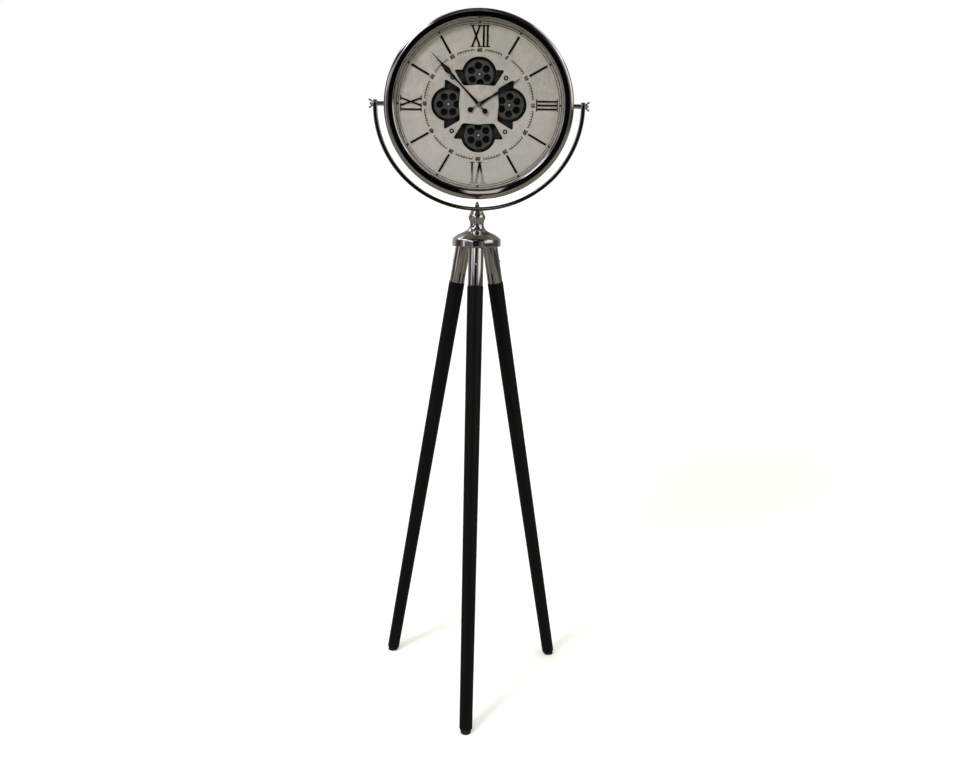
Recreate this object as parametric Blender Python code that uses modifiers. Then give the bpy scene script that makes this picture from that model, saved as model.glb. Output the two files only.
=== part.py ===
"""Tripod clock: a round clock with four geared windows, tilting in a half-ring yoke on a three-legged stand.

Run with blender --background --python part.py, or from the text editor. Metres, +Z up, dial facing -Y.
The stand rests on Z = 0 and the middle of the whole clock's footprint is at X = Y = 0.
"""

import math

import bmesh
import bpy
from mathutils import Matrix, Vector

# Clearances
SEAT_GAP = 0.0003
CUT_OVERRUN = 0.002

# Stand: heights are above the floor, radii are from the column's axis
LEG_COUNT = 3
CAP_BASE_HEIGHT = 1.088
COLUMN_HEIGHT = 0.0858
CAP_RADIUS = 0.0597
CAP_WALL = 0.002
CAP_RECESS_DEPTH = 0.0115
HUB_THICKNESS = 0.007
HUB_STUB_LENGTH = 0.025
FERRULE_RIM_GAP = 0.0019
FOOT_RING_RADIUS = 0.238
FERRULE_RADIUS = 0.0186
FERRULE_WALL = 0.0015
FERRULE_LENGTH = 0.0949
NECK_STUB_GAP = 0.0076
LEG_TOP_RADIUS = 0.0196
LEG_FOOT_RADIUS = 0.0148
LEG_END_CHAMFER = 0.002
PAD_RADIUS = 0.0118
PAD_HEIGHT = 0.0068
FERRULE_SCREW_HEIGHT_SHARE = 0.77
FERRULE_SCREW_RADIUS = 0.0018
FERRULE_SCREW_DEPTH = 0.009
FERRULE_SCREW_HEAD_RADIUS = 0.0034
FERRULE_SCREW_HEAD_HEIGHT = 0.0045

# The column's outline above the cap's base: shares of the column's height and of the cap's radius
COLUMN_OUTLINE_SHARES = (
    (1.0, 0.245), (0.93, 0.29), (0.87, 0.335), (0.815, 0.357), (0.755, 0.33), (0.70, 0.30), (0.63, 0.284),
    (0.56, 0.303), (0.49, 0.352), (0.43, 0.44), (0.385, 0.56), (0.345, 0.70), (0.29, 0.83), (0.235, 0.94),
    (0.165, 1.0), (0.0, 1.0),
)

# Yoke, its bolt and its nuts
YOKE_CLEARANCE = 0.0196
YOKE_THICKNESS = 0.0092
YOKE_WIDTH = 0.020
BOLT_RADIUS = 0.003
BOLT_HEAD_RADIUS = 0.0055
BOLT_HEAD_HEIGHT = 0.004
BOLT_TOP_LENGTH = 0.008
ACORN_RADIUS = 0.0058
ACORN_HEIGHT = 0.013
STUD_RADIUS = 0.003
STUD_SLEEVE_RADIUS = 0.0055
STUD_FLANGE_RADIUS = 0.008
STUD_FLANGE_THICKNESS = 0.002
STUD_TAIL_LENGTH = 0.0085
STUD_END_PLAY = 0.0006
WING_HUB_RADIUS = 0.0062
WING_HUB_HEIGHT = 0.006
WING_SPAN = 0.024
WING_HEIGHT = 0.0112
WING_THICKNESS = 0.0026
WING_TIP_RADIUS = 0.0026
WING_LEAN = math.radians(12)

# Case: depths are in front of the pivots' axis, towards the viewer
BEZEL_RADIUS = 0.230
BEZEL_WIDTH = 0.0255
BEZEL_OVERHANG = 0.011
BEZEL_RISE = 0.0078
BEZEL_SHOULDER = 0.011
BEZEL_ROLL_WIDTH = 0.008
BEZEL_ROLL_DEPTH = 0.0048
BEZEL_LIP = 0.001
BEZEL_WALL = 0.0015
BEZEL_SKIRT_HEIGHT = 0.0085
DRUM_WALL = 0.0015
DRUM_STEP = 0.004
DRUM_FRONT_SETBACK = 0.004
DRUM_BACK_DEPTH = -0.0335
DRUM_BACK_FLANGE = 0.012
DRUM_BACK_CHAMFER = 0.0025
GLASS_THICKNESS = 0.003
GLASS_RIM_GAP = 0.0007
REHAUT_SLANT = 0.0025
DIAL_THICKNESS = 0.003
DIAL_PIVOT_GAP = 0.0013
BACK_COVER_THICKNESS = 0.0015
BACK_OPENING_RADIUS = 0.070

# Dial furniture
MARKER_HEIGHT = 0.002
MARKER_RIM_GAP = 0.0105
BATON_WIDTH = 0.0052
BATON_LENGTH = 0.050
BATON_BEVEL = 0.0009
NUMERAL_LENGTH = 0.0525
NUMERAL_STROKE = 0.0046
NUMERAL_LETTER_WIDTH = 0.023
NUMERAL_LETTER_GAP = 0.0048
NUMERAL_SERIF_WIDTH = 0.012
NUMERAL_SERIF_HEIGHT = 0.0022
NUMERAL_SERIF_RELIEF = 0.0004

# A letter's strokes: each one's outer and inner end, as shares of half the letter's spread
LETTER_STROKE_SHARES = {"I": ((0, 0),), "V": ((-1, 0), (1, 0)), "X": ((-1, 1), (1, -1))}

# Gear windows in the dial: shares of the window's arc radius, sideways and outwards from each wheel's axis
WINDOW_MARGIN = 0.0046
WINDOW_EAR_SHARE = (1.47, 0.235)
WINDOW_CORNER_SHARE = (0.92, -0.677)
WINDOW_INNER_SHARE = -0.613
WINDOW_EAR_FILLET = 0.006
WINDOW_CORNER_FILLET = 0.004

# Gear train: four display wheels and four idlers in a closed ring, and the motor's pinion
WHEEL_RING_RADIUS = 0.074
DISPLAY_TEETH = 30
IDLER_TEETH = 26
PINION_TEETH = 10
RING_HALF_TURNS = 50
TOOTH_THICKNESS_SHARE = 0.40
TOOTH_ADDENDUM_SHARE = 0.88
TOOTH_DEDENDUM_SHARE = 1.15
TOOTH_FLANK_ANGLE = math.radians(20)
WHEEL_CLEARANCE = 0.001
WHEEL_FLANGE_THICKNESS = 0.0015
WHEEL_FLANGE_LAP = 0.00036
TOOTH_LAYER_THICKNESS = 0.0035
IDLER_RECESS = 0.001
WHEEL_HOLE_COUNT = 6
WHEEL_HOLE_SHARE = 0.257
WHEEL_HOLE_RING_SHARE = 0.60
WHEEL_HOLE_TURNS_DEG = {"12": -7.0, "3": 3.5, "6": -3.0, "9": 29.0}
IDLER_HOLE_COUNT = 5
IDLER_HOLE_SHARE = 0.089
IDLER_HOLE_RING_SHARE = 0.51
POST_RADIUS = 0.0028
POST_SHOULDER_RADIUS = 0.0062
PILLAR_RADIUS = 0.004
PLATE_THICKNESS = 0.002
PLATE_GAP = 0.0015
PLATE_MARGIN = 0.003
MOTOR_WIDTH = 0.042
MOTOR_LENGTH = 0.030
MOTOR_DEPTH = 0.016
MOTOR_SHAFT_RADIUS = 0.002
MOTOR_SHAFT_LENGTH = 0.008

# Dial screws, which enter the idlers' pillars
DIAL_SCREW_RADIUS = 0.0015
DIAL_SCREW_HEAD_RADIUS = 0.0044
DIAL_SCREW_HEAD_HEIGHT = 0.0022
DIAL_SCREW_LENGTH = 0.0075

# Movement and hands
MOVEMENT_SIDE = 0.056
MOVEMENT_DEPTH = 0.016
MOVEMENT_BEVEL = 0.003
BUSH_RADIUS = 0.004
BUSH_PROUD = 0.0022
ARBOR_RADIUS = 0.0016
ARBOR_ROOT_DEPTH = 0.006
KNOB_RADIUS = 0.006
KNOB_LENGTH = 0.005
KNOB_RIDGES = 14
KNOB_RIDGE_HEIGHT = 0.0008
KNOB_OFFSET = 0.014
KNOB_STEM_RADIUS = 0.002
KNOB_STEM_LENGTH = 0.004
HAND_THICKNESS = 0.001
HAND_COLLET_HEIGHT = 0.0035
HAND_COLLET_RADIUS = 0.0055
HAND_SEAT_SHARE = 0.37
MINUTE_BOSS_HEIGHT = 0.0013
HAND_TAIL_DISC_RADIUS = 0.0066
HAND_TAIL_NECK = 0.0042
HAND_NUT_RADIUS = 0.0044
HAND_NUT_HEIGHT = 0.0024
HAND_NUT_ROOF = 0.0009
HAND_GLASS_GAP = 0.0006
MINUTE_HAND_TIP_GAP = 0.0205
MINUTE_HAND_WIDTH = 0.0150
MINUTE_HAND_TAIL = 0.0222
MINUTE_HAND_TURN_DEG = 316.8
HOUR_HAND_TIP_GAP = 0.0215
HOUR_HAND_WIDTH = 0.0150
HOUR_HAND_TAIL = 0.0240
HOUR_HAND_TURN_DEG = 57.6

# Hand outlines: shares of the hand's length and of half its width
MINUTE_OUTLINE_SHARES = (
    (0.045, 0.54), (0.16, 0.38), (0.33, 0.25), (0.49, 0.30), (0.535, 0.56), (0.58, 0.30), (0.655, 1.0),
    (0.72, 0.66), (0.79, 0.28), (1.0, 0.06),
)
HOUR_OUTLINE_SHARES = (
    (0.07, 0.52), (0.20, 0.38), (0.36, 0.28), (0.42, 0.50), (0.47, 0.30), (0.60, 1.0), (0.70, 0.62),
    (0.80, 0.26), (1.0, 0.06),
)

# Small domes: shares of the dome's height and radius
ACORN_DOME_SHARES = ((1.0, 0.0), (0.86, 0.45), (0.6, 0.78), (0.3, 1.0))
SCREW_DOME_SHARES = ((1.0, 0.0), (0.8, 0.65), (0.3, 1.0))
HAND_NUT_DOME_SHARES = ((1.0, 0.0), (1.0, 0.7), (0.6, 1.0))
WING_HUB_TAPER_SHARE = 0.8
WING_ROOT_SHARE = 0.1
WING_TOP_SHARE = 0.8
STRIP_END_SHARE = 0.08

# Facets of the round pieces
LARGE_STEPS = 48
COLUMN_STEPS = 28
ROD_STEPS = 20
SMALL_STEPS = 10
HOLE_STEPS = 10
IDLER_HOLE_STEPS = 8
CORNER_STEPS = 3
END_STEPS = 5
BEZEL_STEPS = 3
WINDOW_STEPS = 6
TIP_STEPS = 6
TAIL_STEPS = 9
YOKE_STEPS = 40
BOLT_SIDES = 6

# The rounded end of a wing, from its outer side over the tip to its inner side
WING_TIP_START = math.radians(-40)
WING_TIP_END = math.radians(150)

# Depths that follow from the sizes above, in front of the pivots' axis
DIAL_BACK = STUD_FLANGE_RADIUS + DIAL_PIVOT_GAP
DIAL_FRONT = DIAL_BACK + DIAL_THICKNESS
BUSH_FRONT = DIAL_FRONT + BUSH_PROUD
HOUR_COLLET_BACK = BUSH_FRONT + SEAT_GAP
MINUTE_BOSS_BACK = HOUR_COLLET_BACK + HAND_COLLET_HEIGHT + SEAT_GAP
MINUTE_HAND_FRONT = MINUTE_BOSS_BACK + MINUTE_BOSS_HEIGHT
NUT_BACK = MINUTE_HAND_FRONT + SEAT_GAP
NUT_FRONT = NUT_BACK + HAND_NUT_HEIGHT
GLASS_BACK = NUT_FRONT + HAND_GLASS_GAP
GLASS_FRONT = GLASS_BACK + GLASS_THICKNESS
REHAUT_FRONT = GLASS_BACK - SEAT_GAP
REHAUT_BACK = DIAL_FRONT + SEAT_GAP
BEZEL_BASE_DEPTH = GLASS_FRONT + SEAT_GAP
BEZEL_SKIRT_DEPTH = BEZEL_BASE_DEPTH - BEZEL_SKIRT_HEIGHT
FLANGE_FRONT = DIAL_BACK - WHEEL_CLEARANCE
TOOTH_FRONT = FLANGE_FRONT - WHEEL_FLANGE_THICKNESS
TOOTH_BACK = TOOTH_FRONT - TOOTH_LAYER_THICKNESS
PLATE_FRONT = TOOTH_BACK - PLATE_GAP
PLATE_BACK = PLATE_FRONT - PLATE_THICKNESS

# Radii, heights and angles that follow
DRUM_RADIUS = BEZEL_RADIUS - BEZEL_OVERHANG
DRUM_INNER_RADIUS = DRUM_RADIUS - DRUM_WALL
DRUM_REAR_RADIUS = DRUM_RADIUS - DRUM_STEP
DIAL_RADIUS = DRUM_INNER_RADIUS - SEAT_GAP
GLASS_RADIUS = DRUM_INNER_RADIUS - GLASS_RIM_GAP
SIGHT_RADIUS = BEZEL_RADIUS - BEZEL_WIDTH
MARKER_OUTER_RADIUS = SIGHT_RADIUS - REHAUT_SLANT - MARKER_RIM_GAP
MARKER_INNER_RADIUS = MARKER_OUTER_RADIUS - NUMERAL_LENGTH
MARKER_MIDDLE_RADIUS = (MARKER_OUTER_RADIUS + MARKER_INNER_RADIUS) / 2
MARKER_MIDDLE_DEPTH = DIAL_FRONT + SEAT_GAP + MARKER_HEIGHT / 2
MINUTE_HAND_LENGTH = MARKER_OUTER_RADIUS - MINUTE_HAND_TIP_GAP
HOUR_HAND_LENGTH = MARKER_INNER_RADIUS - HOUR_HAND_TIP_GAP
YOKE_INNER_RADIUS = BEZEL_RADIUS + YOKE_CLEARANCE
YOKE_RADIUS = YOKE_INNER_RADIUS + YOKE_THICKNESS / 2
COLUMN_TOP_HEIGHT = CAP_BASE_HEIGHT + COLUMN_HEIGHT
CLOCK_HEIGHT = COLUMN_TOP_HEIGHT + SEAT_GAP + YOKE_THICKNESS + YOKE_INNER_RADIUS
HUB_RING_RADIUS = CAP_RADIUS - CAP_WALL - FERRULE_RIM_GAP - FERRULE_RADIUS
HUB_TOP_HEIGHT = CAP_BASE_HEIGHT + CAP_RECESS_DEPTH - SEAT_GAP
HUB_BASE_HEIGHT = HUB_TOP_HEIGHT - HUB_THICKNESS
BOLT_BORE_RADIUS = BOLT_RADIUS + SEAT_GAP
STUD_BORE_RADIUS = STUD_RADIUS + SEAT_GAP
ARBOR_BORE_RADIUS = ARBOR_RADIUS + SEAT_GAP
SPLAY = math.atan2(FOOT_RING_RADIUS - HUB_RING_RADIUS, HUB_BASE_HEIGHT)
LEG_AXIS_LENGTH = HUB_BASE_HEIGHT / math.cos(SPLAY)
FERRULE_TOP = FERRULE_RADIUS * math.tan(SPLAY) + SEAT_GAP
FERRULE_END = FERRULE_TOP + FERRULE_LENGTH
LEG_NECK_LENGTH = FERRULE_END - HUB_STUB_LENGTH - NECK_STUB_GAP
FERRULE_BORE_RADIUS = FERRULE_RADIUS - FERRULE_WALL
SPIGOT_RADIUS = FERRULE_BORE_RADIUS - SEAT_GAP
FLOOR_SIDE = 3 * FOOT_RING_RADIUS
RIGHT_ANGLE = math.pi / 2
HOUR_ANGLE = math.pi / 6

# The idlers' places: the ring of eight wheels closes where whole and half teeth meet on both sides
EIGHTH_TURN = math.pi / 4
MESH_ANGLE = (RING_HALF_TURNS * math.pi - IDLER_TEETH * 3 * EIGHTH_TURN) / (DISPLAY_TEETH + IDLER_TEETH)
CENTRE_DISTANCE = WHEEL_RING_RADIUS * math.sin(EIGHTH_TURN) / math.sin(MESH_ANGLE - EIGHTH_TURN)
IDLER_RING_RADIUS = CENTRE_DISTANCE * math.sin(MESH_ANGLE) / math.sin(EIGHTH_TURN)
GEAR_MODULE = 2 * CENTRE_DISTANCE / (DISPLAY_TEETH + IDLER_TEETH)
WHEEL_PITCH_RADIUS = GEAR_MODULE * DISPLAY_TEETH / 2
IDLER_PITCH_RADIUS = GEAR_MODULE * IDLER_TEETH / 2
WHEEL_FLANGE_RADIUS = WHEEL_PITCH_RADIUS + GEAR_MODULE * TOOTH_ADDENDUM_SHARE + WHEEL_FLANGE_LAP
WINDOW_ARC_RADIUS = WHEEL_FLANGE_RADIUS + WINDOW_MARGIN
PINION_RING_RADIUS = WHEEL_RING_RADIUS + GEAR_MODULE * (DISPLAY_TEETH + PINION_TEETH) / 2
PLATE_RADIUS = PINION_RING_RADIUS + GEAR_MODULE * (PINION_TEETH / 2 + TOOTH_ADDENDUM_SHARE) + PLATE_MARGIN

# Mesh handling
CENTRE = ((0, 0),)
WELD_DISTANCE = 0.00001
FLAT_ANGLE = math.radians(0.1)
SHARP_ANGLE = math.radians(35)

PARTS = bpy.data.collections.new("tripod_clock")
CUTTERS = bpy.data.collections.new("tripod_clock_cutters")


def clear_scene():
    """Remove every object of the open scene and link the two collections."""
    for obj in list(bpy.data.objects):
        bpy.data.objects.remove(obj, do_unlink=True)
    for collection in (PARTS, CUTTERS):
        bpy.context.scene.collection.children.link(collection)


def material(name, colour, metallic, roughness, alpha=1.0):
    """Return a Principled material."""
    made = bpy.data.materials.new(name)
    made.use_nodes = True
    shader = made.node_tree.nodes["Principled BSDF"]
    shader.inputs["Base Color"].default_value = (*colour, 1.0)
    shader.inputs["Metallic"].default_value = metallic
    shader.inputs["Roughness"].default_value = roughness
    shader.inputs["Alpha"].default_value = alpha
    made.diffuse_color = (*colour, alpha)
    return made


CHROME = material("chrome", (0.78, 0.77, 0.76), 1.0, 0.08)
STEEL = material("steel", (0.55, 0.55, 0.56), 1.0, 0.3)
BLACK_WOOD = material("black_wood", (0.012, 0.012, 0.012), 0.0, 0.45)
RUBBER = material("rubber", (0.02, 0.02, 0.02), 0.0, 0.8)
GLASS = material("glass", (0.9, 0.95, 0.95), 0.0, 0.02, 0.3)
DIAL_PAPER = material("dial_paper", (0.62, 0.58, 0.52), 0.0, 0.6)
REHAUT_PAINT = material("rehaut_paint", (0.60, 0.57, 0.52), 0.0, 0.5)
DARK_METAL = material("dark_metal", (0.05, 0.045, 0.04), 1.0, 0.2)
HAND_BLACK = material("hand_black", (0.015, 0.015, 0.015), 0.0, 0.4)
WHEEL_GREY = material("wheel_grey", (0.16, 0.17, 0.16), 0.7, 0.4)
PLATE_BLACK = material("plate_black", (0.02, 0.02, 0.02), 0.3, 0.5)
MOULDED_BLACK = material("moulded_black", (0.03, 0.03, 0.03), 0.0, 0.4)


def empty(name, parent=None, location=(0, 0, 0), rotation=(0, 0, 0)):
    """Return an empty that places other objects."""
    obj = bpy.data.objects.new(name, None)
    obj.parent = parent
    obj.location = location
    obj.rotation_euler = rotation
    PARTS.objects.link(obj)
    return obj


def add(name, data, look, parent, location=(0, 0, 0), rotation=(0, 0, 0)):
    """Return a new object in the parts' collection, or among the cutters where look is None."""
    obj = bpy.data.objects.new(name, data)
    obj.parent = parent
    obj.location = location
    obj.rotation_euler = rotation
    if look is None:
        CUTTERS.objects.link(obj)
        obj.hide_render = True
        obj.display_type = "WIRE"
    else:
        PARTS.objects.link(obj)
        data.materials.append(look)
    return obj


def settled(obj, flat=False):
    """Return the object with its modifiers or curve made a plain mesh, and its flat faces whole if asked."""
    bpy.context.view_layer.update()
    graph = bpy.context.evaluated_depsgraph_get()
    mesh = bpy.data.meshes.new_from_object(obj.evaluated_get(graph))
    work = bmesh.new()
    work.from_mesh(mesh)
    bmesh.ops.remove_doubles(work, verts=work.verts, dist=WELD_DISTANCE)
    if flat:
        bmesh.ops.dissolve_limit(work, angle_limit=FLAT_ANGLE, verts=work.verts, edges=work.edges)
    work.to_mesh(mesh)
    work.free()
    mesh.shade_smooth()
    mesh.set_sharp_from_angle(angle=SHARP_ANGLE)
    name = obj.name
    look = obj.data.materials[0] if len(obj.data.materials) else None
    mesh.materials.clear()
    placed = (obj.parent, obj.location.copy(), obj.rotation_euler.copy())
    bpy.data.objects.remove(obj, do_unlink=True)
    return add(name, mesh, look, *placed)


def turned(name, profile, steps, look, parent, wall=0.0, location=(0, 0, 0), rotation=(0, 0, 0)):
    """Return a piece turned about its own Z axis.

    A profile is a list of (radius, height), top to bottom on its outer side. With a wall it is an open line
    that the wall thickens towards the inside, and otherwise the closed outline of the section.
    """
    mesh = bpy.data.meshes.new(name)
    edges = [(i, i + 1) for i in range(len(profile) - 1)]
    on_axis = profile[0][0] == 0 and profile[-1][0] == 0
    if wall == 0 and not on_axis:
        edges.append((len(profile) - 1, 0))
    mesh.from_pydata([(r, 0, z) for r, z in profile], edges, [])
    obj = add(name, mesh, look, parent, location, rotation)
    screw = obj.modifiers.new("turn", "SCREW")
    screw.steps = steps
    screw.render_steps = steps
    screw.use_merge_vertices = True
    screw.merge_threshold = WELD_DISTANCE
    if wall:
        shell = obj.modifiers.new("wall", "SOLIDIFY")
        shell.thickness = wall
        shell.offset = -1
        shell.use_even_offset = True
    return settled(obj)


def plate(name, outlines, thickness, look, parent, location=(0, 0, 0), rotation=(0, 0, 0)):
    """Return a flat piece of closed outlines, the first outside and the rest holes, about its XY plane."""
    curve = bpy.data.curves.new(name, "CURVE")
    curve.dimensions = "2D"
    curve.fill_mode = "BOTH"
    curve.extrude = thickness / 2
    for outline in outlines:
        spline = curve.splines.new("POLY")
        spline.points.add(len(outline) - 1)
        for point, (x, y) in zip(spline.points, outline):
            point.co = (x, y, 0, 1)
        spline.use_cyclic_u = True
    obj = add(name, curve, look, parent, location, rotation)
    return settled(obj, len(outlines) == 1)


def rods(name, places, radius, low, high, look, parent, steps=HOLE_STEPS, rotation=(0, 0, 0),
         location=(0, 0, 0)):
    """Return upright cylinders from low to high at each (x, y) place, in one mesh."""
    work = bmesh.new()
    for x, y in places:
        made = bmesh.ops.create_cone(work, cap_ends=True, segments=steps, radius1=radius, radius2=radius,
                                     depth=high - low)
        bmesh.ops.translate(work, verts=made["verts"], vec=(x, y, (low + high) / 2))
    mesh = bpy.data.meshes.new(name)
    work.to_mesh(mesh)
    work.free()
    mesh.shade_smooth()
    mesh.set_sharp_from_angle(angle=SHARP_ANGLE)
    return add(name, mesh, look, parent, location, rotation)


def box(name, size, look, parent, location=(0, 0, 0), rotation=(0, 0, 0)):
    """Return a box about its own origin."""
    work = bmesh.new()
    bmesh.ops.create_cube(work, size=1)
    bmesh.ops.scale(work, verts=work.verts, vec=size)
    mesh = bpy.data.meshes.new(name)
    work.to_mesh(mesh)
    work.free()
    return add(name, mesh, look, parent, location, rotation)


def bevelled(obj, width, segments=1):
    """Round the sharp edges of an object."""
    bevel = obj.modifiers.new("edges", "BEVEL")
    bevel.width = width
    bevel.segments = segments
    bevel.limit_method = "ANGLE"
    return obj


def combine(obj, other, operation):
    """Join another shape to the object, or cut it away."""
    step = obj.modifiers.new(other.name, "BOOLEAN")
    step.operation = operation
    step.solver = "EXACT"
    step.object = other
    return obj


def circle(radius, steps, centre=(0, 0)):
    """Return a circle's points."""
    turns = (2 * math.pi * i / steps for i in range(steps))
    return [(centre[0] + radius * math.cos(t), centre[1] + radius * math.sin(t)) for t in turns]


def polar(radius, clock_angle):
    """Return the point of the dial at a clockwise angle from 12."""
    return (radius * math.sin(clock_angle), radius * math.cos(clock_angle))


def fillet(before, corner, after, radius):
    """Return the arc that rounds a corner between its two neighbours."""
    corner = Vector(corner)
    to_before = (Vector(before) - corner).normalized()
    to_after = (Vector(after) - corner).normalized()
    half = to_before.angle(to_after) / 2
    centre = corner + (to_before + to_after).normalized() * radius / math.sin(half)
    start = corner + to_before * radius / math.tan(half) - centre
    sweep = (math.pi - 2 * half) * (1 if to_before.cross(to_after) < 0 else -1)
    first = math.atan2(start.y, start.x)
    return arc(radius, first, first + sweep, CORNER_STEPS, centre)


def arc(radius, start, end, steps, centre=(0, 0)):
    """Return the points of an arc, both ends included."""
    turns = (start + (end - start) * i / steps for i in range(steps + 1))
    return [(centre[0] + radius * math.cos(t), centre[1] + radius * math.sin(t)) for t in turns]


def dome(shares, radius, seat, height):
    """Return a domed head's outer line from its middle to its rim, then down to its seat."""
    return [(radius * r, seat + height * h) for h, r in shares] + [(radius, seat)]


def build_foot_pads(legs, floor):
    """Rubber pads under the legs, cut level by the floor."""
    top = -(LEG_AXIS_LENGTH - PAD_HEIGHT) - SEAT_GAP
    bottom = -(LEG_AXIS_LENGTH + PAD_RADIUS)
    for number, axis in enumerate(legs, 1):
        profile = [(0, top), (PAD_RADIUS, top), (PAD_RADIUS, bottom), (0, bottom)]
        pad = turned(f"foot_pad_{number}", profile, ROD_STEPS, RUBBER, axis)
        combine(pad, floor, "DIFFERENCE")


def build_legs(legs):
    """Tapered wooden legs with a turned neck that sits in the ferrule."""
    shoulder = -FERRULE_END - SEAT_GAP
    end = -(LEG_AXIS_LENGTH - PAD_HEIGHT)
    neck_top = shoulder + LEG_NECK_LENGTH
    screw_height = shoulder + LEG_NECK_LENGTH * FERRULE_SCREW_HEIGHT_SHARE
    for number, axis in enumerate(legs, 1):
        profile = [
            (0, neck_top), (SPIGOT_RADIUS, neck_top), (SPIGOT_RADIUS, shoulder), (LEG_TOP_RADIUS, shoulder),
            (LEG_FOOT_RADIUS, end + LEG_END_CHAMFER), (LEG_FOOT_RADIUS - LEG_END_CHAMFER, end), (0, end),
        ]
        leg = turned(f"leg_{number}", profile, ROD_STEPS, BLACK_WOOD, axis)
        hole_radius = FERRULE_SCREW_RADIUS + SEAT_GAP
        hole_depth = FERRULE_SCREW_DEPTH + SEAT_GAP
        bore = rods(f"leg_screw_cutter_{number}", CENTRE, hole_radius, FERRULE_RADIUS - hole_depth,
                    FERRULE_RADIUS + CUT_OVERRUN, None, axis, SMALL_STEPS, (RIGHT_ANGLE, 0, 0),
                    (0, 0, screw_height))
        combine(leg, bore, "DIFFERENCE")
        build_ferrule(number, axis, bore)
        build_ferrule_screw(number, axis, screw_height)


def build_ferrule(number, axis, bore):
    """A chrome tube that joins the leg to the head."""
    profile = [
        (FERRULE_BORE_RADIUS, -FERRULE_TOP), (FERRULE_RADIUS, -FERRULE_TOP),
        (FERRULE_RADIUS, -FERRULE_END), (FERRULE_BORE_RADIUS, -FERRULE_END),
    ]
    ferrule = turned(f"ferrule_{number}", profile, ROD_STEPS, CHROME, axis)
    combine(ferrule, bore, "DIFFERENCE")


def build_ferrule_screw(number, axis, height):
    """A round-headed screw through the ferrule into the leg's neck, facing outwards."""
    seat = FERRULE_RADIUS + SEAT_GAP
    end = FERRULE_RADIUS - FERRULE_SCREW_DEPTH
    profile = dome(SCREW_DOME_SHARES, FERRULE_SCREW_HEAD_RADIUS, seat, FERRULE_SCREW_HEAD_HEIGHT)
    profile += [(FERRULE_SCREW_RADIUS, seat), (FERRULE_SCREW_RADIUS, end), (0, end)]
    turned(f"ferrule_screw_{number}", profile, SMALL_STEPS, CHROME, axis, location=(0, 0, height),
           rotation=(RIGHT_ANGLE, 0, 0))


def build_tripod_head(stand):
    """The turned column and cap, with a recess for the hub and a bore for the bolt."""
    outline = [(CAP_RADIUS * r, COLUMN_HEIGHT * h) for h, r in COLUMN_OUTLINE_SHARES]
    recess = CAP_RADIUS - CAP_WALL
    profile = [(BOLT_BORE_RADIUS, COLUMN_HEIGHT), *outline, (recess, 0), (recess, CAP_RECESS_DEPTH),
               (BOLT_BORE_RADIUS, CAP_RECESS_DEPTH)]
    turned("tripod_head", profile, COLUMN_STEPS, CHROME, stand, location=(0, 0, CAP_BASE_HEIGHT))


def build_leg_hub(stand, legs):
    """The disc inside the cap with a slanted stub for each ferrule."""
    radius = CAP_RADIUS - CAP_WALL - SEAT_GAP
    profile = [
        (BOLT_BORE_RADIUS, HUB_THICKNESS), (radius, HUB_THICKNESS), (radius, 0), (BOLT_BORE_RADIUS, 0),
    ]
    hub = turned("leg_hub", profile, COLUMN_STEPS, STEEL, stand, location=(0, 0, HUB_BASE_HEIGHT))
    stub_top = HUB_THICKNESS / 2 / math.cos(SPLAY)
    for number, axis in enumerate(legs, 1):
        stub = rods(f"hub_stub_{number}", CENTRE, SPIGOT_RADIUS, -HUB_STUB_LENGTH, stub_top, None, axis,
                    ROD_STEPS)
        combine(hub, stub, "UNION")


def build_swivel_bolt(stand):
    """The bolt through the hub, the column and the yoke, and the acorn nut on top."""
    head_top = HUB_BASE_HEIGHT - SEAT_GAP
    yoke_top = CLOCK_HEIGHT - YOKE_INNER_RADIUS
    bolt_top = yoke_top + BOLT_TOP_LENGTH
    bolt = rods("swivel_bolt", CENTRE, BOLT_HEAD_RADIUS, head_top - BOLT_HEAD_HEIGHT, head_top, STEEL, stand,
                BOLT_SIDES)
    shank = rods("bolt_shank", CENTRE, BOLT_RADIUS, head_top - BOLT_HEAD_HEIGHT / 2, bolt_top, None, stand)
    combine(bolt, shank, "UNION")
    seat = yoke_top + SEAT_GAP
    roof = bolt_top + SEAT_GAP
    profile = dome(ACORN_DOME_SHARES, ACORN_RADIUS, seat, ACORN_HEIGHT)
    profile += [(BOLT_BORE_RADIUS, seat), (BOLT_BORE_RADIUS, roof), (0, roof)]
    turned("acorn_nut", profile, SMALL_STEPS, CHROME, stand)


def yoke_stations():
    """Return (angle from straight down, rise above the pivots, half width) along the strip, end to end."""
    half = YOKE_WIDTH / 2
    rounded = [RIGHT_ANGLE * i / END_STEPS for i in range(1, END_STEPS)]
    end = [(half, half * STRIP_END_SHARE)] + [(half * math.cos(t), half * math.sin(t)) for t in rounded]
    left = [(-RIGHT_ANGLE, rise, width) for rise, width in end]
    bend = [(math.pi * i / YOKE_STEPS - RIGHT_ANGLE, 0, half) for i in range(YOKE_STEPS + 1)]
    right = [(RIGHT_ANGLE, rise, width) for rise, width in reversed(end)]
    return left + bend + right


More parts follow.
